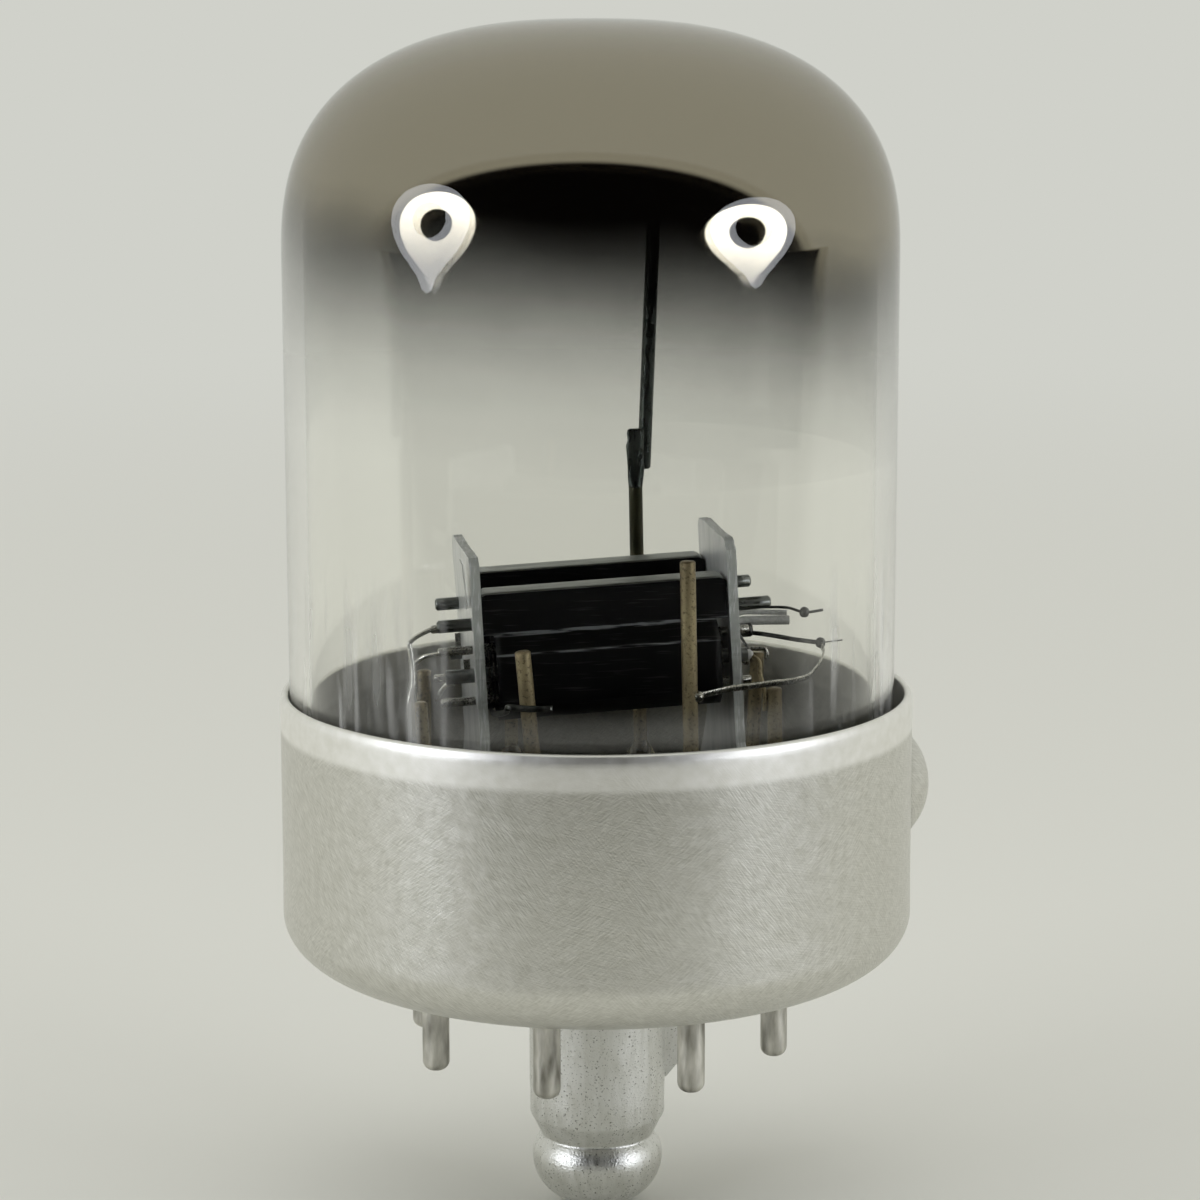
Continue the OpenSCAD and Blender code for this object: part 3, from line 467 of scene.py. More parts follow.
feet = [lead_point(number, STEM_TOP + 0.5) for number in range(1, 9)]


def stem_height(x, y):
    """Height of the stem's top face, with the fillets round the leads."""
    rise = 0.0
    for foot in feet:
        reach = (sqrt((x - foot.x) ** 2 + (y - foot.y) ** 2) - LEAD_R) / (FILLET_R - LEAD_R)
        if reach < 1:
            rise = max(rise, FILLET_H * (1 - max(reach, 0)) ** 1.5)
    return STEM_TOP + rise + 0.05 * noise.noise((x * 0.5, y * 0.5, 3))


STEM_SIDES, STEM_RINGS = 240, 60
top_r = BULB_R - 1.1
points = [(-BULB_SHIFT, 0, stem_height(-BULB_SHIFT, 0))]
for i in range(1, STEM_RINGS + 1):
    ring = circle(-BULB_SHIFT, 0, 0, STEM_SIDES, top_r * i / STEM_RINGS)
    points += [(x, y, stem_height(x, y)) for x, y, _ in ring]
faces = [(0, 1 + k, 1 + (k + 1) % STEM_SIDES) for k in range(STEM_SIDES)]
for i in range(STEM_RINGS - 1):
    faces += band(1 + i * STEM_SIDES, 1 + (i + 1) * STEM_SIDES, STEM_SIDES, turned=True)
last_ring = 1 + (STEM_RINGS - 1) * STEM_SIDES
# The underside, from the rim to the exhaust tip. The tip is on the shell's axis.
under = [(top_r, 4.3), (BULB_R - 0.1, 4.2), (BULB_R - 0.02, 3.9), (BULB_R - 0.7, STEM_Z),
    (TIP_R + 0.4, STEM_Z), (TIP_R, STEM_Z - 0.3), (1.7, 0), (1.2, -3)]
under += arc((0, TIP_LOW + 0.7), 0.7, 0.7, 0, -90, 6)[:-1]
for r, z in under:
    points += circle(-BULB_SHIFT if z > 1 else 0, 0, z, STEM_SIDES, r)
points.append((0, 0, TIP_LOW))
rows = [last_ring] + [last_ring + (i + 1) * STEM_SIDES for i in range(len(under))]
for a, b in zip(rows, rows[1:]):
    faces += band(a, b, STEM_SIDES, turned=True)
faces += [(rows[-1] + k, len(points) - 1, rows[-1] + (k + 1) % STEM_SIDES) for k in range(STEM_SIDES)]
stem = mesh_object("pressed_stem", points, faces)
settle(stem, [pressed_glass], ["glass_stem"])

# Electrode cage: mica plates.
# Two sheets of natural mica, sprayed with a chalky coat, hold every rod in drilled holes. Their
# edges are split and frayed, and they stand on feet just above the stem.
CAGE_Z = 15.0
CAGE_TILT = radians(3)
CAGE_SHIFT = 0.05
MICA_GAP = 11.5
MICA_T = 0.45
MICA_W = 7.9
MICA_UP = 5.4
MICA_FOOT_W = 13.0
MICA_DOWN = CAGE_Z - STEM_TOP - 1.1
FOOT_Z = 4.3
TRIODE_Y = 2.88
TRIODE_Z = -0.28
ANODE_ROD_Z = 2.12
ANODE_ROD_R = 0.3
GRID_PITCH = 2.4
GRID_ROD_R = 0.2
CATHODE_R = 0.335
HOLE_GAP = 0.03
HOLE_SIDES = 28
MICA_BEVEL = 0.02


def caged(x, y, z):
    """A point of the tilted cage, in the tube's own frame, in millimetres."""
    return (CAGE_SHIFT + x * cos(CAGE_TILT) - z * sin(CAGE_TILT), y,
        CAGE_Z + x * sin(CAGE_TILT) + z * cos(CAGE_TILT))


def mica_outline(seed, chips):
    """The plate's outline across the cage, frayed along its cut edges and chipped in places."""
    w, f = MICA_W / 2, MICA_FOOT_W / 2
    corners = [(-w + 0.4, MICA_UP - 0.05), (w - 0.4, MICA_UP - 0.05), (w - 0.05, MICA_UP - 0.4),
        (w - 0.05, -FOOT_Z), (f - 0.05, 0.3 - MICA_DOWN), (f - 0.35, 0.05 - MICA_DOWN),
        (0.35 - f, 0.05 - MICA_DOWN), (0.05 - f, 0.3 - MICA_DOWN), (0.05 - w, -FOOT_Z),
        (0.05 - w, MICA_UP - 0.4)]
    outline = []
    for (ax, ay), (bx, by) in zip(corners, corners[1:] + corners[:1]):
        steps = max(1, int(sqrt((bx - ax) ** 2 + (by - ay) ** 2) / 0.16))
        for i in range(steps):
            x, y = ax + (bx - ax) * i / steps, ay + (by - ay) * i / steps
            fray = 0.05 + 0.05 * noise.noise((x * 1.4, y * 1.4, seed))
            fray += 0.04 * noise.noise((x * 6, y * 6, seed))
            for chip_x, chip_y, reach, depth in chips:
                near = 1 - sqrt((x - chip_x) ** 2 + (y - chip_y) ** 2) / reach
                fray += max(0, near) * depth * (1 + 0.8 * noise.noise((x * 7, y * 7, seed + 3)))
            scale = 1 - max(0, fray) / max(sqrt(x * x + y * y), 1)
            outline.append((x * scale, y * scale))
    return outline


def mica_plate(name, x, skew, seed, chips=()):
    """A plate filled between its outline and its holes, as a mesh in the cage."""
    flat = bpy.data.curves.new(name, "CURVE")
    flat.dimensions = "2D"
    flat.fill_mode = "BOTH"
    flat.extrude = MICA_T / 2 - MICA_BEVEL
    flat.bevel_depth = MICA_BEVEL
    flat.bevel_resolution = 1
    loops = [mica_outline(seed, chips)]
    for side in (-1, 1):
        for z, r in ((ANODE_ROD_Z, ANODE_ROD_R), (TRIODE_Z, CATHODE_R),
                (TRIODE_Z + GRID_PITCH / 2, GRID_ROD_R), (TRIODE_Z - GRID_PITCH / 2, GRID_ROD_R)):
            hole = circle(side * TRIODE_Y, z, 0, HOLE_SIDES, r + HOLE_GAP + MICA_BEVEL)
            loops.append([point[:2] for point in hole])
    for loop in loops:
        spline = flat.splines.new("POLY")
        spline.points.add(len(loop) - 1)
        for point, (u, v) in zip(spline.points, loop):
            point.co = (u, v, 0, 1)
        spline.use_cyclic_u = True
    holder = placed(name + "_curve", flat)
    bpy.context.view_layer.update()
    mesh = bpy.data.meshes.new_from_object(holder)
    bpy.data.objects.remove(holder)
    middle = x + MICA_T / 2
    for vertex in mesh.vertices:
        u, v, depth = vertex.co
        bow = 0.05 * noise.noise((u * 0.35, v * 0.35, seed + 5))
        vertex.co = Vector(caged(middle + depth + skew * u + bow, u, v)) * MM
    across = Vector((cos(CAGE_TILT), 0, sin(CAGE_TILT)))
    with opened(mesh) as plate:
        bmesh.ops.remove_doubles(plate, verts=plate.verts, dist=1e-7)
        bmesh.ops.recalc_face_normals(plate, faces=plate.faces)
        for face in plate.faces:
            face.smooth = False
            face.material_index = 0 if abs(face.normal.dot(across)) > 0.75 else 1
    mesh.name = name
    return placed(name, mesh)


# Sprayed mica: milky and a little blue, with vertical runs in the coat and a faint gloss.
sprayed_mica, tree, place = material_tree("sprayed_mica")
runs = add(tree, "Mapping", {"Vector": place, "Scale": (1, 1, 0.25)})
cloud = add(tree, "TexNoise", {"Vector": runs, "Scale": 1 / (0.9 * MM), "Detail": 5.0})
spray = add(tree, "TexNoise", {"Vector": place, "Scale": 1 / (0.12 * MM), "Detail": 3.0})
milk = blend(tree, cloud, 0.35, 0.66, "#dde1df", "#fafbfa")
add(tree, "OutputMaterial", {"Surface": add(tree, "BsdfPrincipled",
    {"Base Color": milk, "Roughness": 0.42, "Coat Weight": 0.7, "Coat Roughness": 0.2,
    "Normal": add(tree, "Bump", {"Height": spray, "Distance": 0.02 * MM})})})

# Cut mica: the stacked layers show as a dark olive edge with pale splits, but the edge is drawn near white,
# a painted glow for light that the translucent sheet carries to its edge.
cut_mica, tree, place = material_tree("cut_mica_edge")
layers = add(tree, "Mapping", {"Vector": place, "Scale": (9, 1, 1)})
split = add(tree, "TexNoise", {"Vector": layers, "Scale": 1 / (0.7 * MM), "Detail": 4.0})
edge_colour_and_glow = blend(tree, split, 0.5, 0.66, "#d8dcd6", "#fcfefe")
add(tree, "OutputMaterial", {"Surface": add(tree, "BsdfPrincipled",
    {"Base Color": edge_colour_and_glow, "Roughness": 0.35})})

left_mica = mica_plate("left_mica_plate", -MICA_GAP / 2 - MICA_T, -0.03, 11, [(-3.9, 4.6, 0.5, 0.12)])
# A flake has split off the left plate's front corner and stands a little away from it.
flake = []
for x_out in (0.16, 0.2):
    for u, v in ((-3.86, 5.1), (-3.82, 4.2), (-3.8, 3.2), (-3.1, 2.9), (-2.6, 3.9), (-2.9, 5.2)):
        lift = x_out + 0.12 * (v - 3) / 2
        flake.append(caged(-MICA_GAP / 2 - MICA_T - lift - 0.03 * u, u, v))
joined(left_mica, flake, [(0, 1, 2, 3, 4, 5), (11, 10, 9, 8, 7, 6)] + band(0, 6, 6, turned=True),
    smooth=False)
settle(left_mica, [sprayed_mica, cut_mica], ["mica_left"])
right_mica = mica_plate("right_mica_plate", MICA_GAP / 2, 0.0, 23,
    [(-3.9, 5.3, 0.9, 0.3), (-3.9, 2.1, 0.5, 0.1), (3.2, 5.3, 0.6, 0.15)])
settle(right_mica, [sprayed_mica, cut_mica], ["mica_right"])

# Anodes.
# Each is a sheet of nickel folded into a six-sided chamber with a tall fin on top, blackened with
# carbon so that it sheds heat. The fin reaches from plate to plate and hangs on a rod.
ANODE_T = 0.13
FIN_W = 1.7
CHAMBER_W = 3.7
CHAMBER_FLAT = 2.35
CHAMBER_SLOPE = 0.85
FIN_TOP = 3.66
CHAMBER_L = 10.3
FIN_L = MICA_GAP - 0.1
BEND = 0.16
FIN_CORNER, FIN_DROP = 0.3, 0.22
TRIODES = (("front", -1), ("rear", 1))


def rounded(corners, radius, steps=3):
    """A closed line through corners, with each bend rounded."""
    line = []
    count = len(corners)
    for i in range(count):
        before, here, after = (Vector(corners[(i + d) % count]) for d in (-1, 0, 1))
        back, on = (before - here).normalized(), (after - here).normalized()
        reach = radius / tan(back.angle(on) / 2)
        a, b = here + back * reach, here + on * reach
        for s in range(steps + 1):
            t = s / steps
            line.append(a * (1 - t) ** 2 + here * 2 * t * (1 - t) + b * t * t)
    return line


def applied(piece):
    """A piece whose modifiers are turned into its plain mesh."""
    mesh = bpy.data.meshes.new_from_object(piece.evaluated_get(bpy.context.evaluated_depsgraph_get()))
    piece.modifiers.clear()
    piece.data = mesh
    return piece


def anode(name, side):
    """The folded sheet as one skin, thickened inwards."""
    low = CHAMBER_FLAT / 2 + CHAMBER_SLOPE
    fin, wide, flat = FIN_W / 2, CHAMBER_W / 2, CHAMBER_FLAT / 2
    section = rounded([(fin, FIN_TOP), (-fin, FIN_TOP), (-fin, TRIODE_Z + low), (-wide, TRIODE_Z + flat),
        (-wide, TRIODE_Z - flat), (-fin, TRIODE_Z - low), (fin, TRIODE_Z - low), (wide, TRIODE_Z - flat),
        (wide, TRIODE_Z + flat), (fin, TRIODE_Z + low)], BEND)
    fine = []
    for a, b in zip(section, section[1:] + section[:1]):
        steps = max(1, int((b - a).length / 0.35))
        fine += [a + (b - a) * i / steps for i in range(steps)]
    reach, inner = FIN_L / 2, CHAMBER_L / 2
    columns = [-reach, -reach + 0.12, -reach + FIN_CORNER, -inner]
    columns += [-inner + CHAMBER_L * i / 30 for i in range(1, 30)]
    columns += [inner, reach - FIN_CORNER, reach - 0.12, reach]
    shoulder = TRIODE_Z + low + 0.02
    points, faces = [], []
    for y, z in fine:
        for x in columns:
            drop = 0.0
            if z > FIN_TOP - FIN_CORNER and abs(x) > reach - FIN_CORNER:
                drop = FIN_DROP * ((abs(x) - reach + FIN_CORNER) / FIN_CORNER) ** 2
            dent = 0.025 * noise.noise((x * 0.4, z * 0.7, side * 7))
            push = dent if y > 0 else -dent
            points.append(caged(x, side * TRIODE_Y + y + push, z - drop))
    wide_count = len(columns)
    for i in range(len(fine)):
        j = (i + 1) % len(fine)
        for c in range(wide_count - 1):
            outside = abs(columns[c] + columns[c + 1]) / 2 > inner
            if outside and (fine[i][1] < shoulder - 0.05 or fine[j][1] < shoulder - 0.05):
                continue
            a, b = i * wide_count + c, j * wide_count + c
            faces.append((a, b, b + 1, a + 1))
    made = mesh_object(name, points, faces)
    middle = Vector(caged(0, side * TRIODE_Y, TRIODE_Z)) * MM
    up_way = Vector((-sin(CAGE_TILT), 0, cos(CAGE_TILT)))
    top = Vector(caged(0, 0, FIN_TOP - 0.12)) * MM
    with opened(made.data) as mesh:
        bmesh.ops.delete(mesh, geom=[v for v in mesh.verts if not v.link_faces], context="VERTS")
        bmesh.ops.recalc_face_normals(mesh, faces=mesh.faces)
        outwards = sum(f.normal.dot(f.calc_center_median() - middle) > 0 for f in mesh.faces)
        if outwards < len(mesh.faces) / 2:
            bmesh.ops.reverse_faces(mesh, faces=mesh.faces)
        # Faces looking up along the fin's top take the pale nickel: bare metal, and partly a painted
        # highlight.
        for face in mesh.faces:
            high = (face.calc_center_median() - top).dot(up_way) > 0
            face.material_index = 1 if high and face.normal.dot(up_way) > 0.6 else 0
    made.data.materials.append(carbonised)
    made.data.materials.append(bare_nickel_and_top_sheen)
    thicken = made.modifiers.new("sheet", "SOLIDIFY")
    thicken.thickness = ANODE_T * MM
    thicken.offset = -1
    applied(made)
    for x in (-reach + ANODE_T, reach - 2 * ANODE_T):
        # A strip that closes the fin's end below the rod.
        z_low, z_high = TRIODE_Z + low - 0.1, 2.9
        corners = ((0.1 - fin, z_low), (fin - 0.1, z_low), (fin - 0.1, z_high), (0.1 - fin, z_high))
        block = [caged(px, side * TRIODE_Y + py, pz) for px in (x, x + ANODE_T) for py, pz in corners]
        joined(made, block, [(0, 3, 2, 1), (4, 5, 6, 7)] + band(0, 4, 4), smooth=False)
    return made


# Carbonised nickel: sooty black and fine-grained, greyer where it was rubbed.
carbonised, tree, place = material_tree("carbonised_nickel")
soot = add(tree, "TexNoise", {"Vector": place, "Scale": 1 / (0.6 * MM), "Detail": 5.0})
fine_grain = add(tree, "TexNoise", {"Vector": place, "Scale": 1 / (0.05 * MM), "Detail": 3.0})
long_marks = add(tree, "Mapping", {"Vector": place, "Scale": (0.06, 1, 1)})
rub = add(tree, "TexNoise", {"Vector": long_marks, "Scale": 1 / (0.12 * MM), "Detail": 3.0})
rubbed = add(tree, "MapRange", (rub, 0.6, 0.8, 0.0, 0.3))
sooty = add(tree, "Mix", {0: soot, 6: "#040405", 7: "#0c0d0d"}, data_type="RGBA")
# Along each bend a broken pale line is painted in: a painted highlight where the bend catches the light.
cage_level = add(tree, "VectorMath", (place, (-sin(CAGE_TILT), 0, cos(CAGE_TILT))), operation="DOT_PRODUCT")
rub_and_bend_highlight = rubbed
for bend_z, wide, strength in ((TRIODE_Z + CHAMBER_FLAT / 2 + CHAMBER_SLOPE - 0.05, 0.1, 1.5),
        (TRIODE_Z + CHAMBER_FLAT / 2, 0.08, 0.6)):
    away = add(tree, "Math", (cage_level, (CAGE_Z * cos(CAGE_TILT) + bend_z) * MM), operation="SUBTRACT")
    distance = add(tree, "Math", (away,), operation="ABSOLUTE")
    bend_highlight = add(tree, "MapRange", (distance, 0.0, wide * MM, strength * 2.5, 0.0))
    broken = add(tree, "MapRange", (rub, 0.4, 0.6))
    line = add(tree, "Math", (bend_highlight, broken), operation="MULTIPLY")
    rub_and_bend_highlight = add(tree, "Math", (rub_and_bend_highlight, line), operation="ADD")
rubbed_and_highlit = add(tree, "Mix", {0: rub_and_bend_highlight, 6: sooty, 7: "#7c7f80"}, data_type="RGBA")
add(tree, "OutputMaterial", {"Surface": add(tree, "BsdfPrincipled",
    {"Base Color": rubbed_and_highlit, "Roughness": 0.42, "Specular IOR Level": 0.25,
    "Normal": add(tree, "Bump", {"Height": fine_grain, "Distance": 0.012 * MM})})})

# Bare nickel: the fold along the fin's top was left pale and satin, and on the upward faces its pale tone
# is also a painted highlight of the light from above.
bare_nickel_and_top_sheen = metal("bare_nickel_painted_top_sheen", "#777a78", "#9da09d", (0.32, 0.5), 0.1, 0.01, stretch=(0.15, 1, 1))

for name, side in TRIODES:
    settle(anode(name + "_anode", side), [], ["anode_" + name])

# Anode rods.
# A thick nickel rod runs inside each fin and out through both mica plates. The rear one has round ends and
# the front one's are chamfered; both are drawn with the same chamfered ends.
ANODE_ROD_ENDS = {-1: (-7.67, 7.87), 1: (-7.41, 8.05)}
satin_nickel = metal("satin_nickel_rod", "#6d706f", "#9a9d9b", (0.25, 0.4), 0.1, 0.006, stretch=(0.2, 1, 1))


def cross_rod(side, x0, x1, z, radius, crop):
    """A rod along the cage at a triode."""
    y = side * TRIODE_Y
    return rod(caged(x0, y, z), caged(x1, y, z), radius, crop=crop, rows=24)


for name, side in TRIODES:
    x0, x1 = ANODE_ROD_ENDS[side]
    made = mesh_object(name + "_anode_rod", *cross_rod(side, x0, x1, ANODE_ROD_Z, ANODE_ROD_R, 0.1))
    settle(made, [satin_nickel], ["anode_rod_" + name])

# Grids.
# Fine wire wound in an oval round the cathode and swaged into two side rods. Geometry Nodes wind
# the wire, at 0.18 mm from turn to turn.
WINDING_L = MICA_GAP - 0.5
GRID_TURNS = 60
GRID_WIRE_D = 0.08
GRID_W = 1.0
drawn_wire = metal("drawn_grid_wire", "#8d8c88", "#c2c0ba", (0.2, 0.35), 0.08, 0.004)


def winding_tree():
    """A helix swept by a small circle, with named sizes."""
    tree = bpy.data.node_groups.new("grid_winding", "GeometryNodeTree")
    sockets = {}
    for name, kind in (("Turns", "NodeSocketFloat"), ("Length", "NodeSocketFloat"),
            ("Half height", "NodeSocketFloat"), ("Half width", "NodeSocketFloat"),
            ("Wire radius", "NodeSocketFloat"), ("Material", "NodeSocketMaterial")):
        sockets[name] = tree.interface.new_socket(name, in_out="INPUT", socket_type=kind).identifier
    tree.interface.new_socket("Geometry", in_out="OUTPUT", socket_type="NodeSocketGeometry")
    source = add(tree, "NodeGroupInput")
    spiral = add(tree, "GeometryNodeCurveSpiral", {"Resolution": 22, "Rotations": source.outputs["Turns"],
        "Start Radius": 1.0, "End Radius": 1.0, "Height": source.outputs["Length"]})
    place = add(tree, "GeometryNodeInputPosition")
    parts = add(tree, "SeparateXYZ", (place.outputs[0],))
    width = add(tree, "Math", (parts.outputs[0], source.outputs["Half width"]), operation="MULTIPLY")
    height = add(tree, "Math", (parts.outputs[1], source.outputs["Half height"]), operation="MULTIPLY")
    oval = add(tree, "CombineXYZ", (parts.outputs[2], width, height))
    shaped = add(tree, "GeometryNodeSetPosition", {"Geometry": spiral, "Position": oval})
    section = add(tree, "GeometryNodeCurvePrimitiveCircle", {"Resolution": 6,
        "Radius": source.outputs["Wire radius"]})
    swept = add(tree, "GeometryNodeCurveToMesh",
        {"Curve": shaped, "Profile Curve": section, "Fill Caps": True})
    smooth = add(tree, "GeometryNodeSetShadeSmooth", {"Geometry": swept})
    plain = add(tree, "GeometryNodeRealizeInstances", {0: smooth})
    painted = add(tree, "GeometryNodeSetMaterial",
        {"Geometry": plain, "Material": source.outputs["Material"]})
    add(tree, "NodeGroupOutput", {0: painted})
    return tree, sockets


def grown(tree, sockets, values, name):
    """The plain mesh that a Geometry Nodes tree makes with these inputs."""
    holder = mesh_object(name, [(0, 0, 0)], [])
    modifier = holder.modifiers.new("nodes", "NODES")
    modifier.node_group = tree
    for key, value in values.items():
        modifier[sockets[key]] = value
    holder.update_tag()
    return applied(holder)


winding, winding_inputs = winding_tree()
for name, side in TRIODES:
    made = grown(winding, winding_inputs, {"Turns": float(GRID_TURNS), "Length": WINDING_L * MM,
        "Half height": (GRID_PITCH / 2 + GRID_ROD_R + 0.02) * MM, "Half width": GRID_W / 2 * MM,
        "Wire radius": GRID_WIRE_D / 2 * MM, "Material": drawn_wire}, name + "_grid")
    for vertex in made.data.vertices:
        x, y, z = (c / MM for c in vertex.co)
        vertex.co = Vector(caged(x - WINDING_L / 2, side * TRIODE_Y + y, TRIODE_Z + z)) * MM
    for half in (-1, 1):
        joined(made, *cross_rod(side, -MICA_GAP / 2 - MICA_T - 1.5, MICA_GAP / 2 + MICA_T + 0.6,
            TRIODE_Z + half * GRID_PITCH / 2, GRID_ROD_R, 0.06))
    settle(made, [], ["grid_" + name])

# Cathodes, heaters and wiring.
# Nickel sleeves with coated heaters inside, and the wires and ribbons that join the electrodes to
# the leads, each welded in a small blob. The sleeves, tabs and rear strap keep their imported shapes.
WIRE_D = 0.22
WELD_D = 0.55
HEATER_D = 0.45
HEATER_LEG_D = 0.26
CATHODE_LEFT = {-1: -7.4, 1: -6.82}
CATHODE_RIGHT = 6.65
CRIMP = (7.25, 7.95)
LEG_END = (11.05, 0.8, -0.8)


def smoothed(node, name, sharp=75):
    """A copy of a CAD node's mesh, merged and shaded smooth except at sharp edges."""
    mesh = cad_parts[node].data.copy()
    mesh.name = name
    mesh.materials.clear()
    if "custom_normal" in mesh.attributes:
        mesh.attributes.remove(mesh.attributes["custom_normal"])
    with opened(mesh) as merged:
        bmesh.ops.remove_doubles(merged, verts=merged.verts, dist=2e-7)
        for face in merged.faces:
            face.smooth = True
        for edge in merged.edges:
            edge.smooth = len(edge.link_faces) == 2 and edge.calc_face_angle(0) < radians(sharp)
    return placed(name, mesh)


sleeve_nickel = metal("cathode_sleeve_nickel", "#75787a", "#a5a7a5", (0.3, 0.45), 0.1, 0.005)
bright_nickel = metal("nickel_connecting_wire", "#8a8984", "#bdbbb4", (0.18, 0.34), 0.12, 0.006)
silvered_wire = metal("bright_drawn_wire", "#b4b4ae", "#e2e1dc", (0.12, 0.24), 0.12, 0.004)
dark_nickel = metal("heat_darkened_nickel", "#3b3d3d", "#6b6c69", (0.28, 0.45), 0.12, 0.01)


def mineral(name, dark, light, rough, grain_mm, detail, bump_mm):
    """A dull mineral, lighter where its grain stands up."""
    made, tree, place = material_tree(name)
    lump = add(tree, "TexNoise", {"Vector": place, "Scale": 1 / (grain_mm * MM), "Detail": detail})
    chalk = add(tree, "Mix", {0: lump, 6: dark, 7: light}, data_type="RGBA")
    add(tree, "OutputMaterial", {"Surface": add(tree, "BsdfPrincipled",
        {"Base Color": chalk, "Roughness": rough,
        "Normal": add(tree, "Bump", {"Height": lump, "Distance": bump_mm * MM})})})
    return made


# Alumina coat: white and chalky, slightly lumpy.
alumina = mineral("alumina_coating", "#b9bab5", "#eeeeea", 0.85, 0.14, 4.0, 0.03)


def spot(place):
    """A vector as it is, or a tuple of the cage's own x, y and z as a point of the tube."""
    return place if isinstance(place, Vector) else Vector(caged(*place))


def smooth_line(corners, steps):
    """A smooth curve through corners."""
    corners = [spot(c) for c in corners]
    line = []
    for i in range(len(corners) - 1):
        b, c = corners[i], corners[i + 1]
        a, d = corners[max(i - 1, 0)], corners[min(i + 2, len(corners) - 1)]
        leave = (c - a).normalized() * (c - b).length
        arrive = (d - b).normalized() * (c - b).length
        for s in range(steps):
            t = s / steps
            line.append(b * (2 * t ** 3 - 3 * t ** 2 + 1) + leave * (t ** 3 - 2 * t ** 2 + t)
                + c * (3 * t ** 2 - 2 * t ** 3) + arrive * (t ** 3 - t ** 2))
    return line + [corners[-1]]


def wire(corners, high=WIRE_D, wide=0, steps=7, sides=16):
    """A round wire through corners, or a ribbon if it is given two widths, with closed ends."""
    line = smooth_line(corners, steps)
    side = Vector((0.1, 0.3, 1))
    points, faces = [tuple(line[0])], []
    for i, here in enumerate(line):
        along = (line[min(i + 1, len(line) - 1)] - line[max(i - 1, 0)]).normalized()
        side = (side - along * side.dot(along)).normalized()
        third = along.cross(side)
        for k in range(sides):
            t = 2 * pi * k / sides
            points.append(tuple(here + side * cos(t) * high / 2 + third * sin(t) * (wide or high) / 2))
    points.append(tuple(line[-1]))
    last = 1 + (len(line) - 1) * sides
    for k in range(sides):
        j = (k + 1) % sides
        faces += [(0, 1 + j, 1 + k), (last + k, last + j, len(points) - 1)]
        faces += [(1 + i * sides + k, 1 + i * sides + j, 1 + (i + 1) * sides + j, 1 + (i + 1) * sides + k)
            for i in range(len(line) - 1)]
    return points, faces


def blob(middle, diameter=WELD_D, seed=0):
    """A small uneven ball of weld metal."""
    profile = [(diameter / 2 * sin(pi * i / 12), -diameter / 2 * cos(pi * i / 12)) for i in range(13)]
    profile[0], profile[-1] = (0, profile[0][1]), (0, profile[-1][1])
    points, faces = lathe(profile, 20)
    uneven = []
    for p in points:
        swell = 1 - 0.12 * abs(noise.noise(Vector(p) * 5 + Vector((seed, 0, 0))))
        uneven.append(tuple(Vector(p) * swell + spot(middle)))
    return uneven, faces


def fitted(name, shapes, material, node):
    """One piece from several shapes."""
    made = mesh_object(name, *shapes[0])
    for points, faces in shapes[1:]:
        joined(made, points, faces)
    settle(made, [material], [node])


def lead_end(number, dx, dy, dz):
    """A point beside the top of a lead."""
    x, y, z = LEAD_ENDS[number - 1]
    return Vector((x + dx, y + dy, z + dz))


for name, material in (("cathode", sleeve_nickel), ("cathode_tab", bright_nickel)):
    for end in ("front", "rear"):
        node = name + "_" + end
        settle(smoothed(node, end + "_" + name), [material], [node])
settle(smoothed("anode_strap_rear", "rear_anode_strap"), [bright_nickel], ["anode_strap_rear"])

fitted("front_heater", [cross_rod(-1, CATHODE_LEFT[-1] + 0.3, CATHODE_RIGHT + 0.3, TRIODE_Z, HEATER_D / 2,
    0.15)], alumina, "heater_front")
y = TRIODE_Y
fitted("rear_heater", [wire([(CATHODE_LEFT[1] + 0.3, y, TRIODE_Z), (0, y, TRIODE_Z),
    (CATHODE_RIGHT - 0.3, y, TRIODE_Z), (CATHODE_RIGHT + 0.25, y + 0.07, TRIODE_Z + 0.1),
    (7.5, y + 0.2, 0.1), (8.2, y + 0.2, 0.1), (9.96, y + 0.2, -0.02)], HEATER_D, sides=20),
    wire([(CATHODE_RIGHT + 0.3, y + 0.1, TRIODE_Z + 0.1), (7.15, y + 0.15, 0.32), (7.6, y + 0.22, 0.53),
    (8.4, y + 0.22, 0.49), (9.86, y + 0.22, 0.35)], HEATER_LEG_D)], alumina, "heater_rear")

out_x, out_y, out_z = LEG_END
y = TRIODE_Y - 0.42
fitted("heater_leg_wire", [rod(caged(CRIMP[0], y, -0.22), caged(CRIMP[1], y, -0.22), CATHODE_R, crop=0.08,
    rows=6), wire([(CRIMP[1] - 0.3, y, -0.34), (CRIMP[1] + 0.3, y - 0.1, -0.42), (9, 2, -0.53),
    (out_x - 1.05, out_y + 0.7, out_z + 0.1), LEG_END]), blob(LEG_END, seed=2),
    wire([LEG_END, (out_x + 0.7, out_y, out_z + 0.02), (out_x + 1.2, out_y, out_z + 0.03)], 0.07, sides=8)],
    dark_nickel, "heater_leg")
touch = lead_point(7, CAGE_Z - 0.78)
fitted("heater_supply_ribbon", [wire([(out_x, out_y - 0.08, out_z - 0.03),
    (out_x - 0.05, out_y - 0.8, out_z - 0.3), (out_x - 0.45, out_y - 1.6, out_z - 0.62),
    (out_x - 0.95, out_y - 2.4, out_z - 0.8), (out_x - 1.45, out_y - 3.4, out_z - 0.83), (8.6, -3.9, -1.5),
    (7.4, -5, -1.3), (6, -6.3, -1.08), (5, -7.2, -0.92), touch + Vector((LEAD_R + 0.1, 0.05, 0.02)),
    touch + Vector((LEAD_R - 0.1, 0, 0))], 0.32, 0.12), blob(touch + Vector((LEAD_R, -0.1, 0)), seed=5)],
    bright_nickel, "heater_ribbon")
y = TRIODE_Y
link_weld = (out_x - 0.3, y, 0.34)
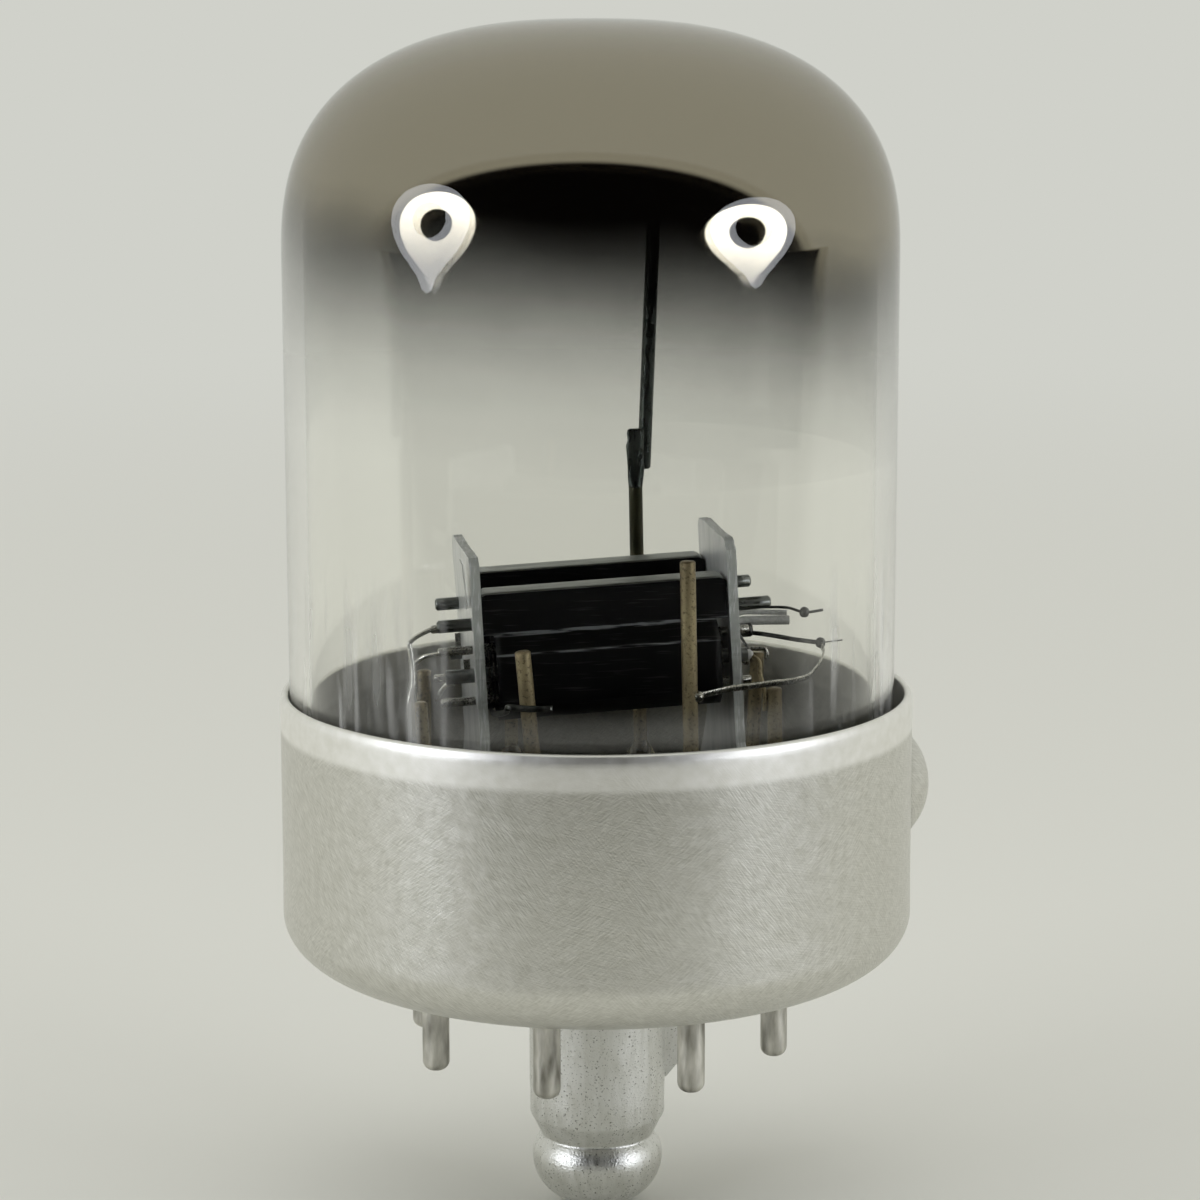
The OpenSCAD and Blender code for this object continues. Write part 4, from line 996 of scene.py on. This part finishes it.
fitted("heater_link_wire", [wire([(link_weld[0] + 1, y, 0.37), link_weld,
    (link_weld[0] - 0.85, y + 0.18, 0.6), (8.4, y + 0.22, 0.73), (7.5, y + 0.1, 0.81), (6.8, 1.7, 0.8),
    (6.65, 0, 0.5), (6.8, -1.7, 0), (CATHODE_RIGHT + 0.25, 0.3 - y, TRIODE_Z)], 0.14, sides=12),
    blob(link_weld, seed=8)], dark_nickel, "heater_link")
beside = LEAD_R + WIRE_D / 2
fitted("front_heater_wire", [wire([(CATHODE_RIGHT + 0.25, -y, TRIODE_Z - 0.1),
    (CATHODE_RIGHT + 0.55, -y - 0.05, TRIODE_Z - 0.4), (7.2, -y - 0.15, -1.2),
    lead_end(8, -beside, 0, -0.2), lead_end(8, 0.02 - beside, 0, -1.1)])], browned_wire, "heater_wire")

x = ANODE_ROD_ENDS[-1][0]
fitted("front_anode_wire", [wire([(x + 0.2, -y, ANODE_ROD_Z), (-8.2, -y, 1.93), (-8.93, -y - 0.03, 1.5),
    (-8.93, -y - 0.1, 1.15), (-8.88, -y - 0.2, 0.4), (-8.93, -y - 0.35, -0.4), lead_end(5, -beside, 0, 0),
    lead_end(5, 0.02 - beside, 0, -1)])], silvered_wire, "anode_wire_front")
x = CATHODE_LEFT[1]
fitted("rear_cathode_wire", [wire([(x + 0.5, y - 0.38, TRIODE_Z + 0.18), (x, y - 0.38, TRIODE_Z + 0.17),
    (-7.51, y - 0.3, -0.25), (-8.12, y - 0.1, -0.36), (-8.42, y + 0.1, -0.6), lead_end(4, -beside, 0, 0.2),
    lead_end(4, 0.02 - beside, 0, -0.8)])], silvered_wire, "cathode_wire_rear")
x = CATHODE_LEFT[-1]
fitted("front_cathode_wire", [wire([(x + 0.4, -y + 0.2, TRIODE_Z - CATHODE_R - 0.02),
    (x + 0.05, -y + 0.25, TRIODE_Z - CATHODE_R - 0.06), (-7.7, -2, -1.3), (-7.7, 0.5, -2), (-7.1, 4, -2.1),
    (-5.8, 6.6, -2), lead_end(3, -LEAD_R - 0.6, -0.4, -0.15), lead_end(3, -beside, 0, -0.3),
    lead_end(3, 0.02 - beside, 0, -1)])], silvered_wire, "cathode_wire_front")
low = TRIODE_Z - GRID_PITCH / 2
x = 0.3 - MICA_GAP / 2
touch = lead_point(6, CAGE_Z - 1.05)
front = -LEAD_R - 0.07
fitted("front_grid_strap", [wire([(x, -y, low - GRID_ROD_R - 0.05), (x, -y - 0.8, low - 0.4),
    (x + 0.15, -5.2, low - 0.2), (x + 0.5, -6.9, -1.2), touch + Vector((-0.9, front, 0.08)),
    touch + Vector((0, front + 0.02, 0)), touch + Vector((1.05, front, -0.02))], 0.3, 0.14),
    blob((x, -y, low - GRID_ROD_R), seed=11)], dark_nickel, "grid_strap_front")
x = MICA_GAP / 2 + MICA_T + 0.63
away, over = beside + 0.03, WIRE_D / 2 + 0.03
fitted("rear_grid_wire", [wire([(x, y, low), (x + 0.4, y, low), lead_end(1, -away - 0.07, -0.1, -0.5),
    lead_end(1, -away - 0.03, 0, -0.1), lead_end(1, -LEAD_R - 0.01, 0, over + 0.02),
    lead_end(1, 0, 0, over + 0.03), lead_end(1, LEAD_R + 0.01, 0, over + 0.02),
    lead_end(1, away + 0.01, 0, -0.1), lead_end(1, away, 0, -0.35)])], bright_nickel, "grid_wire_rear")

# Glass bulb.
# Blown clear glass with a 1 mm wall and a flat-topped dome. It is fused to the stem's edge and sits
# a little off the shell's axis.
BULB_WALL = 1.0
BULB_SIDES = 256
BULB_TOP = 44.3
DOME_H = 10.8
DOME_POWER = 2.5
DOME_Z = BULB_TOP - DOME_H
SEAL_Z = 4.2


def dome(radius, height, steps=72):
    """Outline of the dome from its foot to its top."""
    line = []
    for i in range(steps + 1):
        a = pi / 2 * i / steps
        line.append((radius * max(cos(a), 0) ** (2 / DOME_POWER) if i < steps else 0,
            DOME_Z + height * sin(a) ** (2 / DOME_POWER)))
    return line


def two_skins(name, outer, inner, sides):
    """A wall between two turned skins, closed along its foot."""
    points, faces = lathe(outer, sides, (-BULB_SHIFT, 0))
    inner_points, inner_faces = lathe(inner, sides, (-BULB_SHIFT, 0))
    made = mesh_object(name, points, faces)
    joined(made, inner_points, inner_faces)
    foot = len(points) + len(inner_points) - sides
    with opened(made.data) as mesh:
        mesh.verts.ensure_lookup_table()
        for face in band(foot, 0, sides):
            mesh.faces.new([mesh.verts[i] for i in face]).smooth = False
    return made


# Blown glass: clear, with pale streaks that run up the front wall at both sides, painted reflections of the
# ring lamps.
blown_glass, tree, place = material_tree("blown_clear_glass")
where = add(tree, "SeparateXYZ", (place,))
aside = add(tree, "Math", (where.outputs[0],), operation="ABSOLUTE")
upright = add(tree, "Mapping", {"Vector": place, "Scale": (1, 1, 0.12)})
lamp_streak = add(tree, "TexNoise", {"Vector": upright, "Scale": 1 / (1.1 * MM), "Detail": 2.0})
painted_reflection = add(tree, "MapRange", (lamp_streak, 0.56, 0.68, 0.0, 0.3))
for value, first, last in ((where.outputs[2], 20.5, 17), (aside, 7, 9), (where.outputs[1], -1, -4)):
    fade = add(tree, "MapRange", (value, first * MM, last * MM))
    painted_reflection = add(tree, "Math", (painted_reflection, fade), operation="MULTIPLY")
# Where the painted reflection lies, less light passes and the white base shows.
through = add(tree, "Math", (1.0, painted_reflection), operation="SUBTRACT")
add(tree, "OutputMaterial", {"Surface": add(tree, "BsdfPrincipled",
    {"Base Color": "#fefefb", "Roughness": 0.0, "IOR": 1.5, "Transmission Weight": through})})

inside_r = BULB_R - BULB_WALL
outer_wall = [(BULB_R, SEAL_Z + 0.05 + (DOME_Z - SEAL_Z) * i / 12) for i in range(12)]
inner_wall = [(inside_r, DOME_Z - (DOME_Z - SEAL_Z) * i / 12) for i in range(1, 13)]
profile = outer_wall + dome(BULB_R, DOME_H)
inside = list(reversed(dome(inside_r, DOME_H - BULB_WALL)))
settle(two_skins("glass_envelope", profile, inside + inner_wall, BULB_SIDES), [blown_glass], ["glass_bulb"])

# Getter mirror.
# Barium flashed on the inside of the dome: a brownish silver mirror that thins to nothing down the
# wall. It is drawn as a film 0.03 mm thick, whose alpha falls with height.
FILM_SINK = 0.015
FILM_T = 0.03
FILM_LOW = 24.2
FILM_SIDES = 192
# Each step: a height, how much the film covers there, and how bright its metal is.
MIRROR_FADE = [(FILM_LOW, 0.0, 0.1), (26.4, 0.09, 0.1), (28.5, 0.18, 0.1), (30.15, 0.35, 0.1),
    (31.8, 0.53, 0.1), (33.2, 0.72, 0.2), (34, 0.83, 0.5), (35.2, 0.96, 1.0), (36, 1.0, 1.0)]
barium, tree, place = material_tree("barium_mirror")
where = add(tree, "SeparateXYZ", (place,))
drift = add(tree, "TexNoise", {"Vector": place, "Scale": 1 / (6 * MM), "Detail": 2.0})
lower_right = add(tree, "Math", (where.outputs[0], 0.1), operation="MULTIPLY")
wandering = add(tree, "MapRange", (drift, 0.3, 0.7, -0.35 * MM, 0.35 * MM))
shift_1 = add(tree, "Math", (where.outputs[2], lower_right), operation="ADD")
shift_2 = add(tree, "Math", (shift_1, wandering), operation="ADD")
level = add(tree, "MapRange", (shift_2, FILM_LOW * MM, MIRROR_FADE[-1][0] * MM))
ramps = []
for kind in ("cover", "shine"):
    ramp = add(tree, "ValToRGB", {"Fac": level})
    stops = ramp.color_ramp.elements
    while len(stops) > 1:
        stops.remove(stops[-1])
    for i, (z, cover, shine) in enumerate(MIRROR_FADE):
        share = (z - FILM_LOW) / (MIRROR_FADE[-1][0] - FILM_LOW)
        stop = stops[0] if i == 0 else stops.new(share)
        stop.position = share
        value = 1 - sqrt(1 - cover) if kind == "cover" else shine
        stop.color = (value, value, value, 1)
    ramps.append(ramp)
metal_colour = add(tree, "Mix", {0: 1.0, 6: "#9b9484", 7: ramps[1]}, data_type="RGBA",
    blend_type="MULTIPLY")
add(tree, "OutputMaterial", {"Surface": add(tree, "BsdfPrincipled",
    {"Base Color": metal_colour, "Metallic": 1.0, "Roughness": 0.03, "Alpha": ramps[0]})})

film_profiles = []
for inset in (-FILM_SINK, FILM_T - FILM_SINK):
    wall = [(inside_r - inset, FILM_LOW + (DOME_Z - FILM_LOW) * i / 10) for i in range(10)]
    film_profiles.append(wall + dome(inside_r - inset, DOME_H - BULB_WALL - inset))
film = two_skins("getter_mirror", film_profiles[0], list(reversed(film_profiles[1])), FILM_SIDES)
settle(film, [barium], ["getter_film"])

# Basing cement.
# A ring of tan cement that holds the bulb's foot in the shell.
cement = mineral("basing_cement", "#7d6c4f", "#b9a680", 0.9, 0.5, 5.0, 0.1)
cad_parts["base_cement"].data.materials.clear()
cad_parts["base_cement"].data.materials.append(cement)

# Locating lug.
# A drawn steel tube, bright plated, with a flange inside the shell, a key towards X, a locking groove
# and a polished round end.
LUG_R = 3.28
LUG_WALL = 0.5
LUG_STRAIGHT = 7.95
SEAT_R, SEAT_H = 3.26, 1.1
GROOVE_Z = -9.0
GROOVE_R = 2.72
BULGE_R = 3.15
BULGE_Z = -10.15
NOSE_H = 2.25
KEY_W = 1.4
KEY_R = 4.4
KEY_H = 6.2
LUG_SIDES = 128

end_in = 0.8
groove_angle = acos((GROOVE_R - end_in) / (BULGE_R - end_in))
bulge_height = (GROOVE_Z - BULGE_Z) / sin(groove_angle)
lug_profile = [(0, BULGE_Z - NOSE_H)]
lug_profile += arc((end_in, BULGE_Z), BULGE_R - end_in, NOSE_H, -90, 0, 24)
lug_profile += arc((end_in, BULGE_Z), BULGE_R - end_in, bulge_height, 0, groove_angle * 180 / pi, 14)[1:]
lug_profile += [(GROOVE_R + 0.02, GROOVE_Z + 0.08), (GROOVE_R + 0.12, GROOVE_Z + 0.25),
    (SEAT_R - 0.14, -LUG_STRAIGHT - 0.22), (SEAT_R - 0.05, -LUG_STRAIGHT - 0.08),
    (SEAT_R, -LUG_STRAIGHT + 0.08), (SEAT_R, SEAT_H - LUG_STRAIGHT)]
lug_profile += [(LUG_R, SEAT_H + 0.55 - LUG_STRAIGHT), (LUG_R, -4), (LUG_R, -2), (LUG_R, 0)]
lug_profile += [(LUG_R, 0.4), (5.2, 0.4), (5.2, 0.8), (LUG_R - LUG_WALL, 0.8)]
lug_profile += [(LUG_R - LUG_WALL, -LUG_STRAIGHT), (GROOVE_R - LUG_WALL, GROOVE_Z)]
lug_profile += list(reversed(arc((0, BULGE_Z), BULGE_R - LUG_WALL, NOSE_H - LUG_WALL, -90, 0, 10)))
lug_profile[-1] = (0, lug_profile[-1][1])

# Bright plate: worn satin on the straight stretch, with rubs along it, and polished on the end.
plated, tree, place = material_tree("worn_bright_plate")
where = add(tree, "SeparateXYZ", (place,))
worn_zone = add(tree, "MapRange", (where.outputs[2], -9.1 * MM, -8.2 * MM))
rubbing = add(tree, "Mapping", {"Vector": place, "Scale": (1, 1, 0.3)})
wear = add(tree, "TexNoise", {"Vector": rubbing, "Scale": 1 / (0.35 * MM), "Detail": 5.0})
pits = add(tree, "TexNoise", {"Vector": place, "Scale": 1 / (0.1 * MM), "Detail": 4.0})
satin = add(tree, "MapRange", (wear, 0.3, 0.7, 0.34, 0.56))
polished = add(tree, "MapRange", (wear, 0.3, 0.7, 0.28, 0.4))
rough = add(tree, "Mix", {0: worn_zone, 2: polished, 3: satin})
plate_colour = add(tree, "Mix", {0: wear, 6: "#c2c2bb", 7: "#f2f2ef"}, data_type="RGBA")
# Small dark pits where the plate has worn through.
specked_plate = blend(tree, pits, 0.6, 0.7, plate_colour, "#77776f")
add(tree, "OutputMaterial", {"Surface": add(tree, "BsdfPrincipled",
    {"Base Color": specked_plate, "Metallic": 1.0, "Roughness": rough,
    "Normal": add(tree, "Bump", {"Height": pits, "Distance": 0.022 * MM})})})

lug = mesh_object("locating_lug_plated", *lathe(lug_profile, LUG_SIDES))
slope = KEY_R - LUG_R - KEY_H
key = [(LUG_R - 0.3, 0.2), (KEY_R - 0.12, 0.2), (KEY_R, 0.08), (KEY_R, slope + 0.1),
    (KEY_R - 0.08, slope - 0.02), (LUG_R, -KEY_H), (LUG_R - 0.3, -KEY_H)]
count = len(key)
key_points = []
for y, inset in ((-KEY_W / 2, 0.1), (0.1 - KEY_W / 2, 0), (KEY_W / 2 - 0.1, 0), (KEY_W / 2, 0.1)):
    key_points += [(x - (inset if x > LUG_R else 0), y, z) for x, z in key]
key_faces = [tuple(range(count)), tuple(reversed(range(3 * count, 4 * count)))]
for i in range(3):
    key_faces += band(i * count, (i + 1) * count, count, turned=True)
joined(lug, key_points, key_faces, smooth=False)
settle(lug, [plated], ["locating_lug"])

# Base shell.
# Drawn aluminium cup, tumbled after forming, which leaves fine crossing scratches. Its rim was
# smoothed by a roller, and an index boss is pressed out of its side.
SHELL_R = 15.0
SHELL_H = 13.1
SHELL_WALL = 0.4
CORNER_IN, CORNER_UP = 3.5, 2.5
BOSS_OUT, BOSS_R, BOSS_Z = 1.12, 3.4, 8.0
RIM_BAND = 1.7
SHELL_SIDES = 288
LUG_HOLE_SIDES, PIN_HOLE_SIDES, PIN_HOLE_GAP = 96, 40, 0.55
# The wall is up to this much out of round, from this height up.
OUT_OF_ROUND, ROUND_BELOW = 0.03, 3


def boss_reach(angle, z, radius):
    """How far out the boss's ball reaches at an angle and height, or 0."""
    ball = SHELL_R + BOSS_OUT - BOSS_R
    if abs(angle) > 0.5:
        return 0
    level = radius ** 2 - (z - BOSS_Z) ** 2 - (ball * sin(angle)) ** 2
    return ball * cos(angle) + sqrt(level) if level > 0 else 0


# The profile runs up the outside, which narrows by 0.02 mm below the rim, over the lip and down inside.
outside = arc((SHELL_R - CORNER_IN, CORNER_UP), CORNER_IN, CORNER_UP, -90, 0, 20)
outside += [(SHELL_R - 0.02 * min(1, i / 6), CORNER_UP + (11.4 - CORNER_UP) * i / 36) for i in range(1, 37)]
outside += [(SHELL_R - 0.016, 11.6), (SHELL_R - 0.01, 11.9), (SHELL_R - 0.003, 12.2), (SHELL_R, 12.5),
    (SHELL_R - 0.006, 12.7), (SHELL_R - 0.03, 12.85)]
outside += arc((SHELL_R - 0.235, SHELL_H - 0.165), 0.165, 0.165, 0, 90, 6)
inside = arc((SHELL_R - 0.235, SHELL_H - 0.165), 0.165, 0.165, 90, 180, 6)[1:]
inside += [(SHELL_R - SHELL_WALL, SHELL_H - 0.3 - (SHELL_H - 0.3 - CORNER_UP) * i / 36)
    for i in range(37)]
inside += list(reversed(arc((SHELL_R - CORNER_IN, CORNER_UP), CORNER_IN - SHELL_WALL,
    CORNER_UP - SHELL_WALL, -90, 0, 20)))[1:]
shell_profile = outside + inside
turn = len(outside)
points, lengths, run = [], [], 0.0
for i, (r, z) in enumerate(shell_profile):
    if i:
        run += sqrt((r - shell_profile[i - 1][0]) ** 2 + (z - shell_profile[i - 1][1]) ** 2)
    lengths.append(run)
    for k in range(SHELL_SIDES):
        a = 2 * pi * k / SHELL_SIDES - pi
        reach = r
        if z > ROUND_BELOW:
            ball = boss_reach(a, z, BOSS_R if i < turn else BOSS_R - SHELL_WALL)
            reach = max(r, ball)
            if ball < r:
                share = min(1, (z - ROUND_BELOW) / 9)
                reach -= OUT_OF_ROUND * share * (1 + sin(3 * a + 1) * 0.6 + 0.4 * sin(7 * a))
        points.append((reach * cos(a), reach * sin(a), z))
faces = []
for i in range(len(shell_profile) - 1):
    faces += band(i * SHELL_SIDES, (i + 1) * SHELL_SIDES, SHELL_SIDES)
shell = mesh_object("aluminium_shell", points, faces)
shell_mesh = bmesh.new()
shell_mesh.from_mesh(shell.data)
first, last = 0, (len(shell_profile) - 1) * SHELL_SIDES
levels = []
for start, z in ((first, 0.0), (last, SHELL_WALL)):
    shell_mesh.verts.ensure_lookup_table()
    rings = [[shell_mesh.verts[start + k] for k in range(SHELL_SIDES)]]
    holes = [(0, 0, LUG_R, LUG_HOLE_SIDES)]
    holes += [pin_place(n) + (PIN_R + PIN_HOLE_GAP, PIN_HOLE_SIDES) for n in range(1, 9)]
    for x, y, r, count in holes:
        rings.append([shell_mesh.verts.new(Vector(p) * MM) for p in circle(x, y, z, count, r)])
    edges = []
    for ring in rings:
        for k in range(len(ring)):
            pair = (ring[k], ring[(k + 1) % len(ring)])
            edges.append(shell_mesh.edges.get(pair) or shell_mesh.edges.new(pair))
    filled = bmesh.ops.triangle_fill(shell_mesh, edges=edges, use_beauty=True)
    for item in filled["geom"]:
        if isinstance(item, bmesh.types.BMFace):
            item.smooth = True
            item.normal_update()
            if (item.normal.z > 0) == (z == 0.0):
                item.normal_flip()
    levels.append(rings[1:])
for low_ring, high_ring in zip(*levels):
    count = len(low_ring)
    for k in range(count):
        j = (k + 1) % count
        shell_mesh.faces.new((low_ring[j], low_ring[k], high_ring[k], high_ring[j])).smooth = False
uv = shell_mesh.loops.layers.uv.new("wrap")
shell_mesh.verts.index_update()
side_count = len(shell_profile) * SHELL_SIDES
for face in shell_mesh.faces:
    columns = [loop.vert.index % SHELL_SIDES for loop in face.loops]
    wraps = max(columns) - min(columns) > SHELL_SIDES / 2
    for loop in face.loops:
        index = loop.vert.index
        if index >= side_count or len(face.loops) == 3:
            loop[uv].uv = (loop.vert.co.x / MM + 60, loop.vert.co.y / MM)
            continue
        column = index % SHELL_SIDES
        if wraps and column < SHELL_SIDES / 2:
            column += SHELL_SIDES
        loop[uv].uv = (column * 2 * pi * SHELL_R / SHELL_SIDES, lengths[index // SHELL_SIDES])
shell_mesh.to_mesh(shell.data)
shell_mesh.free()

# Tumbled aluminium: a soft bright grey, crossed by fine curved scratches, with a smoother rim whose
# near-white tone is partly its polish and partly a painted reflection.
tumbled, tree, place = material_tree("tumbled_aluminium")
wrap = add(tree, "UVMap", uv_map="wrap")
where = add(tree, "SeparateXYZ", (place,))
sweep = add(tree, "TexNoise", {"Vector": wrap, "Scale": 0.16, "Detail": 1.0})
marks = []
for turn_angle, width, length in ((-50, 0.07, 0.6), (38, 0.08, 0.5), (-15, 0.06, 0.8)):
    turned = add(tree, "Mapping", {"Vector": wrap, "Rotation": (0, 0, radians(turn_angle)),
        "Scale": (length, width, 1)}, vector_type="TEXTURE")
    marks.append(add(tree, "TexNoise", {"Vector": turned, "Scale": 1.0, "Detail": 2.0}))
favoured = add(tree, "MapRange", (sweep, 0.42, 0.62))
crossing = add(tree, "Mix", {0: favoured, 2: marks[0], 3: marks[1]})
all_marks = add(tree, "Mix", {0: 0.35, 2: crossing, 3: marks[2]})
scratch = add(tree, "MapRange", (all_marks, 0.36, 0.64))
mottle = add(tree, "TexNoise", {"Vector": wrap, "Scale": 1.6, "Detail": 4.0})
above = add(tree, "MapRange", (where.outputs[2], (SHELL_H - RIM_BAND - 0.15) * MM,
    (SHELL_H - RIM_BAND + 0.25) * MM), interpolation_type="SMOOTHSTEP")
marked = add(tree, "Mix", {0: 0.5, 2: scratch, 3: mottle})
worn = add(tree, "Mix", {0: marked, 6: "#b9b8af", 7: "#eeede7"}, data_type="RGBA")
# The rim band's near-white tone: the roller's polish, and partly a painted reflection.
rubbed = blend(tree, mottle, 0.3, 0.7, "#f1f0ea", "#fbfaf6")
tone = add(tree, "Mix", {0: above, 6: worn, 7: rubbed}, data_type="RGBA")
body_rough = add(tree, "MapRange", (mottle, 0.3, 0.7, 0.3, 0.41))
rim_rough = add(tree, "MapRange", (mottle, 0.3, 0.7, 0.4, 0.46))
final_rough = add(tree, "Mix", {0: above, 2: body_rough, 3: rim_rough})
calm = add(tree, "MapRange", (above, 0.0, 1.0, 1.0, 0.5))
relief = add(tree, "Math", (scratch, calm), operation="MULTIPLY")
add(tree, "OutputMaterial", {"Surface": add(tree, "BsdfPrincipled",
    {"Base Color": tone, "Metallic": 1.0, "Roughness": final_rough,
    "Normal": add(tree, "Bump", {"Height": relief, "Distance": 0.0045 * MM})})})
settle(shell, [tumbled], ["base_shell"])
